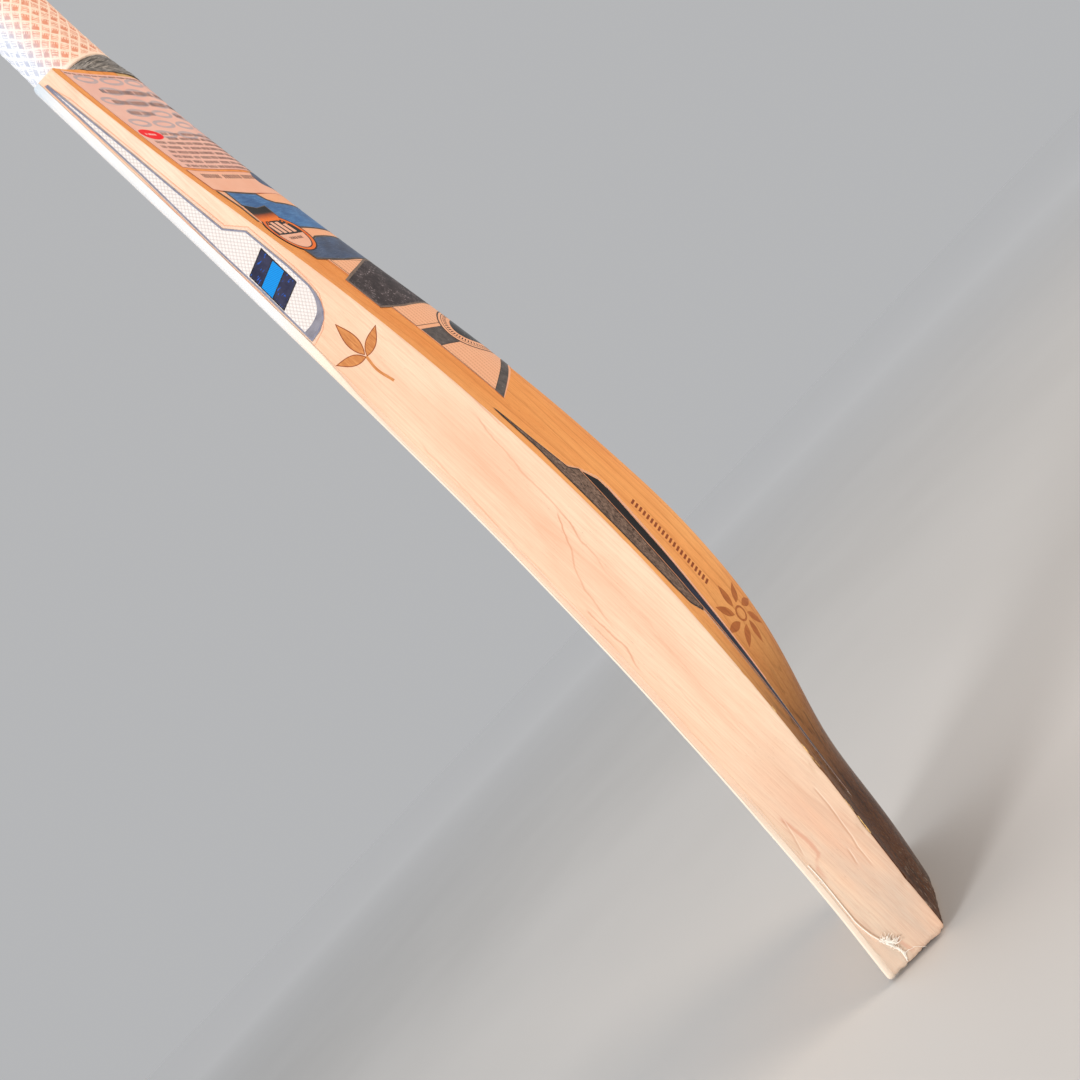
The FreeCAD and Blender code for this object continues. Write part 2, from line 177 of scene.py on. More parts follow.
def add_mesh(name, verts, faces, mats, fmat=None, smooth=True, attrs=None, body="root", auto=None):
    """verts in metres, row frame."""
    me = bpy.data.meshes.new(name)
    verts = np.asarray(verts, np.float32)
    me.vertices.add(len(verts)); me.vertices.foreach_set("co", verts.ravel())
    if isinstance(faces, np.ndarray):
        k = faces.shape[1]
        flat = faces.ravel().astype(np.int32)
        starts = np.arange(len(faces), dtype=np.int32) * k
        tot = np.full(len(faces), k, np.int32)
    else:
        flat = np.array([i for f in faces for i in f], np.int32)
        tot = np.array([len(f) for f in faces], np.int32)
        starts = np.concatenate([[0], np.cumsum(tot)[:-1]]).astype(np.int32)
    me.loops.add(len(flat)); me.loops.foreach_set("vertex_index", flat)
    me.polygons.add(len(tot)); me.polygons.foreach_set("loop_start", starts); me.polygons.foreach_set("loop_total", tot)
    for m in (mats if isinstance(mats, (list, tuple)) else [mats]):
        me.materials.append(m)
    if fmat is not None:
        me.polygons.foreach_set("material_index", np.asarray(fmat, np.int32))
    me.polygons.foreach_set("use_smooth", np.full(len(tot), smooth))
    me.update(); me.validate()
    for k, v in (attrs or {}).items():
        a = me.attributes.new(k, "FLOAT", "POINT")
        a.data.foreach_set("value", np.asarray(v, np.float32))
    o = bpy.data.objects.new(name, me)
    bpy.context.scene.collection.objects.link(o)
    if auto is not None:
        me.set_sharp_from_angle(angle=math.radians(auto))
    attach(o, body)
    made.append(o)
    return o


def inside(poly, pts):
    """Even-odd test."""
    x, y = pts[:, 0], pts[:, 1]
    c = np.zeros(len(pts), bool)
    n = len(poly)
    for i in range(n):
        x0, y0 = poly[i]; x1, y1 = poly[(i + 1) % n]
        if y0 == y1:
            continue
        m = ((y0 > y) != (y1 > y))
        xi = (x1 - x0) * (y - y0) / (y1 - y0) + x0
        c ^= m & (x < xi)
    return c


def densify(poly, step):
    out = []
    n = len(poly)
    for i in range(n):
        a, b = np.array(poly[i], float), np.array(poly[(i + 1) % n], float)
        k = max(1, int(math.ceil(np.linalg.norm(b - a) / step)))
        for j in range(k):
            out.append(a + (b - a) * j / k)
    return np.array(out)


def smooth_closed(pts, n=8):
    """Catmull-Rom through closed points."""
    P = np.array(pts, float)
    out = []
    m = len(P)
    for i in range(m):
        p0, p1, p2, p3 = P[i - 1], P[i], P[(i + 1) % m], P[(i + 2) % m]
        for j in range(n):
            t = j / n
            out.append(0.5 * ((2 * p1) + (-p0 + p2) * t + (2 * p0 - 5 * p1 + 4 * p2 - p3) * t * t + (-p0 + 3 * p1 - 3 * p2 + p3) * t ** 3))
    return [tuple(q) for q in out]


def smooth_open(pts, n=8):
    P = [np.array(p, float) for p in pts]
    P = [2 * P[0] - P[1]] + P + [2 * P[-1] - P[-2]]
    out = []
    for i in range(1, len(P) - 2):
        p0, p1, p2, p3 = P[i - 1], P[i], P[i + 1], P[i + 2]
        for j in range(n):
            t = j / n
            out.append(0.5 * ((2 * p1) + (-p0 + p2) * t + (2 * p0 - 5 * p1 + 4 * p2 - p3) * t * t + (-p0 + 3 * p1 - 3 * p2 + p3) * t ** 3))
    out.append(P[-2])
    return [tuple(q) for q in out]


def tri_patch(poly, step):
    """2-D verts and triangles filling one outline."""
    b = densify(poly, step)
    lo, hi = b.min(0), b.max(0)
    gx, gy = np.meshgrid(np.arange(lo[0] + step * .5, hi[0], step), np.arange(lo[1] + step * .5, hi[1], step * .87))
    gx[1::2] += step * .5
    g = np.stack([gx.ravel(), gy.ravel()], 1)
    g = g[inside(b, g)]
    if len(g):
        d = np.sqrt(((g[:, None] - b[None]) ** 2).sum(-1)).min(1)
        g = g[d > step * .45]
    pts = np.concatenate([b, g]) if len(g) else b
    n = len(b)
    res = delaunay_2d_cdt([Vector(p) for p in pts], [(i, (i + 1) % n) for i in range(n)], [], 1, 1e-7)
    v = np.array([tuple(p) for p in res[0]])
    return v, [tuple(f) for f in res[2]]


def ring2(cx, cy, rx, ry, w, n=72, a0=0.0, a1=2 * math.pi):
    """2-D annulus, outer radii rx, ry, width w."""
    full = abs(a1 - a0 - 2 * math.pi) < 1e-6
    th = np.linspace(a0, a1, n + 1)
    if full:
        th = th[:-1]
    o = np.stack([cx + rx * np.cos(th), cy + ry * np.sin(th)], 1)
    i = np.stack([cx + (rx - w) * np.cos(th), cy + (ry - w) * np.sin(th)], 1)
    v = np.concatenate([o, i]); m = len(th)
    f = [(k, (k + 1) % m, m + (k + 1) % m, m + k) for k in range(m if full else m - 1)]
    return v, f


def stripe2(pts, w, step=1.5, closed=False):
    """2-D ribbon along a polyline, mitred."""
    P = densify(pts, step)
    if not closed:
        # densify closes the loop: keep only the open part
        out = []
        for i in range(len(pts) - 1):
            a, b = np.array(pts[i], float), np.array(pts[i + 1], float)
            k = max(1, int(math.ceil(np.linalg.norm(b - a) / step)))
            out += [a + (b - a) * j / k for j in range(k)]
        out.append(np.array(pts[-1], float)); P = np.array(out)
    n = len(P)
    if closed:
        d1, d0 = np.roll(P, -1, 0) - P, P - np.roll(P, 1, 0)
    else:
        d = np.diff(P, axis=0); d1 = np.vstack([d, d[-1:]]); d0 = np.vstack([d[:1], d])
    d1 = d1 / np.maximum(np.linalg.norm(d1, axis=1, keepdims=True), 1e-9)
    d0 = d0 / np.maximum(np.linalg.norm(d0, axis=1, keepdims=True), 1e-9)
    t = d0 + d1; t /= np.maximum(np.linalg.norm(t, axis=1, keepdims=True), 1e-9)
    nrm = np.stack([-t[:, 1], t[:, 0]], 1)
    c = np.clip((nrm * np.stack([-d1[:, 1], d1[:, 0]], 1)).sum(1), 0.4, 1)
    h = np.asarray(w) / 2 / c
    L, R = P + nrm * h[:, None], P - nrm * h[:, None]
    v = np.concatenate([L, R])
    m = n if closed else n - 1
    f = [(k, (k + 1) % n, n + (k + 1) % n, n + k) for k in range(m)]
    return v, f


def join2(parts):
    V, F, n = [], [], 0
    for v, f in parts:
        V.append(v); F += [tuple(i + n for i in q) for q in f]; n += len(v)
    return np.concatenate(V), F


def applied(name, vf, surf, off, thick, mat, relief=None, attrs=None):
    """A thin closed solid lying on the blade: bottom at off, top at off + thick (mm)."""
    v2, faces = vf
    p, nrm = surf(v2)
    top = p + nrm * (off + thick)
    if relief is not None:
        top = top + nrm * relief(v2)[:, None]
    bot = p + nrm * off
    n = len(v2)
    # orient the faces along the normal
    f0 = []
    for f in faces:
        a, b, c = top[f[0]], top[f[1]], top[f[2]]
        s = np.dot(np.cross(b - a, c - a), nrm[f[0]])
        f0.append(f if s > 0 else f[::-1])
    edge = {}
    for f in f0:
        for i in range(len(f)):
            e = (f[i], f[(i + 1) % len(f)])
            edge[e] = edge.get(e, 0) + 1
    fs = list(f0) + [tuple(i + n for i in f[::-1]) for f in f0]
    for (a, b) in edge:
        if (b, a) not in edge:
            fs.append((b, a, a + n, b + n))
    at = {k: np.concatenate([fn(v2), fn(v2)]) for k, fn in (attrs or {}).items()}
    return add_mesh(name, row(np.concatenate([top, bot])), fs, mat, auto=35, attrs=at)


# ---------------------------------------------------------------- materials
class Mat:
    """Small helper for procedural materials; P is the position in millimetres."""

    def __init__(s, name, rough=0.5, **kw):
        s.m = bpy.data.materials.new(name)
        s.m.use_nodes = True
        s.t = s.m.node_tree
        s.t.nodes.clear()
        s.out = s.t.nodes.new("ShaderNodeOutputMaterial")
        s.b = s.t.nodes.new("ShaderNodeBsdfPrincipled")
        s.t.links.new(s.b.outputs[0], s.out.inputs[0])
        s.set(s.b, "Roughness", rough)
        s.set(s.b, "Specular IOR Level", 0.25)
        for k, v in kw.items():
            s.set(s.b, k.replace("_", " "), v)
        tc = s.t.nodes.new("ShaderNodeTexCoord")
        s.P = s.vm("SCALE", tc.outputs["Object"], None, 1000.0)

    def set(s, node, key, v):
        sock = node.inputs[key]
        if isinstance(v, bpy.types.NodeSocket):
            s.t.links.new(v, sock)
        elif v is not None:
            if sock.type == "RGBA" and len(v) == 3:
                v = (*v, 1)
            sock.default_value = v

    def math(s, op, a, b=None, c=None, clamp=False):
        n = s.t.nodes.new("ShaderNodeMath"); n.operation = op; n.use_clamp = clamp
        for i, v in enumerate((a, b, c)):
            if v is not None:
                s.set(n, i, v)
        return n.outputs[0]

    def vm(s, op, a, b=None, scale=None):
        n = s.t.nodes.new("ShaderNodeVectorMath"); n.operation = op
        s.set(n, 0, a)
        if b is not None:
            s.set(n, 1, b)
        if scale is not None:
            s.set(n, "Scale", scale)
        return n.outputs["Value"] if op in ("LENGTH", "DOT_PRODUCT", "DISTANCE") else n.outputs[0]

    def xyz(s, v=None):
        n = s.t.nodes.new("ShaderNodeSeparateXYZ"); s.set(n, 0, v or s.P)
        return n.outputs

    def noise(s, scale=(1, 1, 1), detail=2.0, rough=0.5, vec=None, dist=0.0, color=False):
        mp = s.t.nodes.new("ShaderNodeMapping"); s.set(mp, "Vector", vec or s.P); mp.inputs["Scale"].default_value = scale
        n = s.t.nodes.new("ShaderNodeTexNoise"); s.set(n, "Vector", mp.outputs[0]); n.inputs["Scale"].default_value = 1.0
        n.inputs["Detail"].default_value = detail; n.inputs["Roughness"].default_value = rough; n.inputs["Distortion"].default_value = dist
        return n.outputs["Color" if color else "Fac"]

    def voronoi(s, scale=(1, 1, 1), feature="F1", vec=None, out="Distance", rand=1.0):
        mp = s.t.nodes.new("ShaderNodeMapping"); s.set(mp, "Vector", vec or s.P); mp.inputs["Scale"].default_value = scale
        n = s.t.nodes.new("ShaderNodeTexVoronoi"); n.feature = feature; s.set(n, "Vector", mp.outputs[0]); n.inputs["Scale"].default_value = 1.0
        n.inputs["Randomness"].default_value = rand
        return n.outputs[out]

    def ramp(s, fac, stops, interp="LINEAR"):
        n = s.t.nodes.new("ShaderNodeValToRGB"); s.set(n, "Fac", fac)
        cr = n.color_ramp; cr.interpolation = interp
        while len(cr.elements) > 1:
            cr.elements.remove(cr.elements[-1])
        for i, (p, c) in enumerate(stops):
            if not isinstance(c, (tuple, list)):
                c = (c, c, c)
            e = cr.elements[0] if i == 0 else cr.elements.new(p)
            e.position = p; e.color = (*c[:3], 1)
        return n.outputs["Color"]

    def mix(s, fac, a, b, mode="MIX"):
        n = s.t.nodes.new("ShaderNodeMix"); n.data_type = "RGBA"; n.blend_type = mode; n.clamp_factor = True
        s.set(n, 0, fac)
        for key, v in (("A_Color", a), ("B_Color", b)):
            sock = [i for i in n.inputs if i.identifier == key][0]
            if isinstance(v, bpy.types.NodeSocket):
                s.t.links.new(v, sock)
            else:
                sock.default_value = (*v[:3], 1)
        return [o for o in n.outputs if o.identifier == "Result_Color"][0]

    def attr(s, name):
        n = s.t.nodes.new("ShaderNodeAttribute"); n.attribute_name = name
        return n.outputs["Fac"]

    def remap(s, v, a, b, c=0.0, d=1.0):
        n = s.t.nodes.new("ShaderNodeMapRange"); n.clamp = True
        s.set(n, "Value", v)
        for k, x in (("From Min", a), ("From Max", b), ("To Min", c), ("To Max", d)):
            n.inputs[k].default_value = x
        return n.outputs[0]

    def bump(s, h, dist=0.1, strength=1.0, normal=None):
        n = s.t.nodes.new("ShaderNodeBump"); s.set(n, "Height", h)
        n.inputs["Distance"].default_value = dist / 1000.0; n.inputs["Strength"].default_value = strength
        if normal is not None:
            s.set(n, "Normal", normal)
        return n.outputs[0]

    def color(s, v):
        s.set(s.b, "Base Color", v)

    def normal(s, v):
        s.set(s.b, "Normal", v)

    def rough(s, v):
        s.set(s.b, "Roughness", v)

    def seg(s, yz0, yz1, width):
        """1 on a straight scratch between two (y, z) row-frame points, falling to 0 at width."""
        o = s.xyz()
        a, b = np.array(yz0, float), np.array(yz1, float)
        ab = b - a; L2 = float(ab @ ab)
        dy = s.math("SUBTRACT", o[1], float(a[0])); dz = s.math("SUBTRACT", o[2], float(a[1]))
        t = s.math("DIVIDE", s.math("ADD", s.math("MULTIPLY", dy, float(ab[0])), s.math("MULTIPLY", dz, float(ab[1]))), L2, clamp=True)
        ey = s.math("SUBTRACT", dy, s.math("MULTIPLY", t, float(ab[0]))); ez = s.math("SUBTRACT", dz, s.math("MULTIPLY", t, float(ab[1])))
        d = s.math("SQRT", s.math("ADD", s.math("MULTIPLY", ey, ey), s.math("MULTIPLY", ez, ez)))
        return s.remap(d, 0.0, width, 1.0, 0.0)


    def track(s, name, width, warp=None):
        """Mask of a line whose signed distance and strength are stored on the mesh."""
        d = s.attr(name + "_d")
        if warp is not None:
            d = s.math("ADD", d, warp)
        k = s.remap(s.math("ABSOLUTE", d), width * 0.3, width, 1.0, 0.0)
        return s.math("MULTIPLY", k, s.attr(name + "_k"))


def lin(r, g, b):
    """sRGB 0-255 to linear."""
    return tuple(((c / 255) / 12.92 if c / 255 <= 0.04045 else ((c / 255 + 0.055) / 1.055) ** 2.4) for c in (r, g, b))


def willow(name, pale, pink, vein, rough=0.5, dark=False, ring_gain=0.35, scratches=True):
    m = Mat(name, rough)
    o = m.xyz()
    warp = m.noise((0.011, 0.016, 0.0034), 2.0, 0.5, dist=0.4)
    cx = m.math("ADD", o[0], 160.0)
    comb = m.t.nodes.new("ShaderNodeCombineXYZ"); m.set(comb, 0, cx); m.set(comb, 1, m.math("ADD", o[1], 6.0))
    r = m.vm("LENGTH", comb.outputs[0])
    r = m.math("ADD", r, m.math("MULTIPLY", m.math("SUBTRACT", warp, 0.5), 34.0))
    fr = m.math("FRACT", m.math("DIVIDE", r, 6.2))
    pulse = m.ramp(fr, [(0.0, 0.0), (0.70, 0.03), (0.90, 0.45), (0.955, 1.0), (0.985, 0.25), (1.0, 0.0)])
    gate = m.remap(m.noise((0.02, 0.02, 0.004), 2.0), 0.40, 0.62)
    fibre = m.noise((1.3, 1.3, 0.028), 7.0, 0.62)
    fine = m.noise((4.5, 4.5, 0.10), 3.0, 0.6)
    blotch = m.noise((0.030, 0.036, 0.0085), 3.0, 0.55)
    if scratches:
        # painted highlight: the edge colour is made paler towards the shoulder, standing in for the brighter light
        # there
        up = m.math("MULTIPLY", m.remap(o[2], -300.0, -225.0, 0.0, 0.80), m.remap(o[2], -225.0, -160.0, 1.0, 0.45))
        pale = m.mix(up, pale, lin(248, 235, 217)); pink = m.mix(up, pink, lin(246, 228, 208))
    if dark:
        # painted light: the back colour is made lighter and more orange low down, standing in for how the light falls
        # there
        low = m.remap(o[2], -480.0, -400.0, 1.0, 0.0)
        pale = m.mix(low, pale, lin(253, 187, 119)); pink = m.mix(low, pink, lin(244, 168, 102))
    c = m.mix(m.remap(blotch, 0.40, 0.66), pale, pink)
    c = m.mix(m.math("MULTIPLY", m.math("MULTIPLY", pulse, ring_gain), m.math("ADD", gate, 0.25)), c, vein)
    c = m.mix(m.remap(fibre, 0.42, 0.74, 0.0, 0.31), c, vein)
    c = m.mix(m.remap(fine, 0.54, 0.74, 0.0, 0.38), c, vein)
    fleck = m.math("MULTIPLY", m.remap(m.noise((2.4, 2.4, 0.42), 2.0, 0.5), 0.685, 0.74), m.remap(m.noise((0.05, 0.05, 0.02), 2.0), 0.45, 0.6))
    c = m.mix(m.math("MULTIPLY", fleck, 0.35), c, (vein[0] * .55, vein[1] * .5, vein[2] * .5))
    h = m.math("ADD", m.math("MULTIPLY", fibre, 0.5), m.math("MULTIPLY", fine, 0.35))
    h = m.math("SUBTRACT", h, m.math("MULTIPLY", fleck, 0.5))
    if scratches:
        dull = m.math("MULTIPLY", m.remap(o[2], -700.0, -590.0, 1.0, 0.0), m.remap(m.noise((0.10, 0.10, 0.02), 4.0, 0.65), 0.30, 0.62, 0.25, 1.0))
        c = m.mix(m.math("MULTIPLY", dull, 0.62), c, lin(203, 192, 178))
        c = m.mix(m.math("MULTIPLY", dull, m.remap(fine, 0.42, 0.66, 0.0, 0.50)), c, lin(196, 150, 122))
        wp = m.math("MULTIPLY", m.math("SUBTRACT", m.noise((0.16, 0.16, 0.10), 3.0, 0.6), 0.5), 2.2)
        veins = m.track("vein1", 0.55, wp)
        for nm in ("vein2", "vein3", "vein4"):
            veins = m.math("MAXIMUM", veins, m.track(nm, 0.55, wp))
        c = m.mix(m.math("MULTIPLY", veins, 0.72), c, lin(214, 146, 112))
        # a bruise on the edge, and lower down a painted shadow beside the torn strip at the toe
        c = m.mix(m.track("bruise", 1.25, wp), c, lin(204, 128, 100))
        # each cut is a bump groove; its darker colour is painted shade in the groove, and the lighter line beside it is
        # a painted highlight
        for nm in ("cut1", "cut2"):
            ln = m.track(nm, 0.62)
            h = m.math("SUBTRACT", h, m.math("MULTIPLY", ln, 0.8))
            c = m.mix(m.math("MULTIPLY", ln, 0.42), c, lin(190, 134, 102))
            c = m.mix(m.math("MULTIPLY", m.track(nm + "_lit", 0.34), 0.42), c, lin(255, 240, 222))
    if dark:
        # darker and browner towards the toe, following the toe_dark attribute
        toe_darkening = m.attr("toe_dark")
        sp = m.noise((0.9, 0.9, 0.35), 5.0, 0.7)
        k = m.math("MULTIPLY", toe_darkening, m.remap(sp, 0.25, 0.60, 0.87, 1.0))
        c = m.mix(k, c, lin(53, 17, 3))
        streak = m.math("MULTIPLY", m.remap(toe_darkening, 0.35, 0.8), m.remap(m.noise((0.22, 0.22, 0.035), 5.0, 0.65, dist=0.8), 0.52, 0.62))
        c = m.mix(m.math("MULTIPLY", streak, 0.62), c, lin(20, 8, 3))
        knot = m.attr("knot")
        kn = m.math("MULTIPLY", knot, m.remap(m.noise((0.35, 0.35, 0.09), 4.0, 0.6, dist=1.5), 0.35, 0.6))
        c = m.mix(m.math("MULTIPLY", kn, 0.85), c, lin(48, 28, 18))
        scuff = m.math("MULTIPLY", m.remap(o[2], -722.0, -672.0, 1.0, 0.0), m.remap(m.noise((0.7, 0.7, 0.30), 5.0, 0.7), 0.57, 0.66))
        c = m.mix(m.math("MULTIPLY", scuff, 0.70), c, lin(205, 196, 182))
        m.b.inputs["Specular IOR Level"].default_value = 0.015
    m.color(c)
    m.rough(m.remap(fibre, 0.3, 0.7, rough - 0.08, rough + 0.10) if not dark else m.math("SUBTRACT", m.remap(fibre, 0.3, 0.7, rough - 0.05, rough + 0.10), m.math("MULTIPLY", m.attr("toe_dark"), 0.20)))
    m.normal(m.bump(h, 0.10, 0.55))
    return m.m


# lines on the right edge: (y, z, strength), from the shoulder down
TRACKS = {
    "vein1": [(41.4, 298.1, 0), (41.2, 292, .6), (40.4, 284.2, .6), (39.3, 270.4, .6), (38.7, 257.5, .45), (39.1, 247, .45), (38.6, 238, .6), (38.3, 231, .9),
              (37.4, 228.5, .9), (35.8, 221.7, .6), (35.9, 213.3, .5), (34.6, 204, .2), (34, 198, 0), (33, 184, 0), (32.5, 176, .25), (30.5, 160, .25),
              (29.5, 138, .25), (30, 112, .2), (30, 100, 0)],
    "vein2": [(44, 340, 0), (45, 330, .4), (46, 317.4, .6), (46.1, 308.6, .6), (46.2, 297.5, .6), (46.6, 285, .6), (46.6, 279, 0), (37.8, 238.8, 0), (36.3, 236.5, .95),
              (34.1, 231.7, .95), (30.6, 222.7, .7), (25.4, 215.2, .6), (22.3, 205.7, .6), (21.3, 198.4, .6), (19.8, 189, .45), (19, 179, 0), (22, 156, 0),
              (22, 150, .25), (20, 130, .25), (19.4, 108, .15), (19, 100, 0)],
    "vein3": [(15.5, 306, 0), (15, 300, .45), (14.6, 270.9, .5), (13.3, 243.7, .5), (12.6, 217.2, .5), (12.8, 198.3, .5), (14.2, 180.5, .35), (14.4, 172, 0)],
    "vein4": [(28.5, 406, 0), (30, 398, .22), (33, 372, .22), (36.5, 350, .25), (39, 330, .25), (40.8, 312, 0), (16.6, 199, 0), (16.6, 196.7, .8), (16.5, 190, .8),
              (16.9, 184, .8), (17.4, 175.3, .8), (15.8, 169, .8), (14.9, 165.4, .6), (14.5, 161, 0)],
    # the last run, from z 6 down, is a painted shadow beside the torn strip at the toe
    "bruise": [(13.5, 76, 0), (13.5, 72.7, .45), (14.5, 66, .45), (15.4, 58.5, .45), (14.7, 52.6, .4), (11, 50, .1), (9.9, 48, .35), (9.4, 44, .2), (9.2, 41, 0), (13.6, 6, 0), (13.9, 2, .28), (14.4, -1.5, .34), (14.8, -4, .25), (15, -6, 0)],
    "cut1": [(33.3, 75.4, 0), (33.2, 73.4, .9), (32.5, 64.2, 1), (30.9, 54.1, 1), (30.1, 48.2, 1), (28.9, 43.6, 1), (28.2, 35.3, .7), (28, 32.5, 0)],
    "cut2": [(13.8, 75, 0), (13.5, 72.7, .7), (12.2, 66, .7), (9.8, 57.8, .7), (9.2, 55, 0), (25.1, 47.2, 0), (25, 44.7, .9), (24.5, 42, 1), (23.8, 39.2, .9), (23.7, 37, 0)],
}


def tracks(u, P):
    """Signed distance (mm) across each line and its strength, at every point."""
    out = {}
    right = u > 0.99
    for nm, pts in TRACKS.items():
        a = np.array(pts)[::-1]
        y0 = np.interp(P[:, 2], a[:, 1], a[:, 0])
        slope = np.gradient(np.interp(np.arange(-20, 420, 0.5), a[:, 1], a[:, 0]), 0.5)
        sl = np.interp(P[:, 2], np.arange(-20, 420, 0.5), slope)
        d = (P[:, 1] - y0) / np.sqrt(1 + sl * sl)
        out[nm + "_d"] = d
        out[nm + "_k"] = np.interp(P[:, 2], a[:, 1], a[:, 2]) * right
        # the lit line beside each cut carries a painted highlight
        if nm.startswith("cut"):
            out[nm + "_lit_d"] = d - 0.62
            out[nm + "_lit_k"] = out[nm + "_k"]
    return out


def plastic(name, base, base2, scale=(0.5, 0.5, 0.5), rough=0.4, bump=0.02, speck=None, speck_scale=(2, 2, 2), speck_cut=0.7, contrast=(0.35, 0.65), **kw):
    m = Mat(name, rough, **kw)
    n = m.noise(scale, 5.0, 0.6)
    c = m.mix(m.remap(n, *contrast), base, base2)
    if speck is not None:
        sp = m.remap(m.noise(speck_scale, 2.0, 0.5), speck_cut, speck_cut + 0.05)
        c = m.mix(sp, c, speck)
    m.color(c)
    m.rough(m.remap(n, 0.3, 0.7, max(0.05, rough - 0.06), rough + 0.08))
    m.normal(m.bump(m.noise((3, 3, 3), 3.0, 0.6), bump, 0.5))
    return m.m


MATS = {}
MATS["edge"] = willow("willow_pale", lin(243, 214, 186), lin(238, 192, 162), lin(208, 148, 112), 0.50, ring_gain=0.20)
# the back's honey-orange colour is partly the wood's own tone and partly painted warm shade, the back being the same
# willow as the edges
MATS["back"] = willow("willow_honey_and_warm_shade", lin(242, 172, 106), lin(232, 154, 90), lin(178, 98, 50), 0.40, dark=True, ring_gain=0.38, scratches=False)
MATS["face"] = willow("willow_face", lin(244, 216, 184), lin(240, 200, 166), lin(190, 130, 92), 0.48, ring_gain=0.85, scratches=False)
MATS["end"] = willow("willow_endgrain", lin(226, 190, 160), lin(214, 170, 142), lin(150, 100, 72), 0.7, scratches=False)
MATS["cane"] = willow("cane", lin(222, 190, 140), lin(214, 178, 124), lin(150, 110, 66), 0.6, ring_gain=0.1, scratches=False)


def binding_material():
    m = Mat("wound_twine", 0.75)
    o = m.xyz()
    w = m.math("SINE", m.math("MULTIPLY", o[2], 2 * math.pi / 0.9))
    # darker between the turns: painted shade in the grooves
    c = m.mix(m.remap(w, -1, 1), lin(150, 130, 100), lin(226, 210, 180))
    m.color(c); m.normal(m.bump(w, 0.2, 0.8))
    return m.m


def spring_material():
    return plastic("cork_rubber", lin(70, 52, 40), lin(110, 80, 56), (0.9, 0.9, 0.9), 0.85, 0.06, speck=lin(150, 110, 70), speck_scale=(1.5, 1.5, 1.5), speck_cut=0.62)


MATS["twine"] = binding_material()
MATS["spring"] = spring_material()

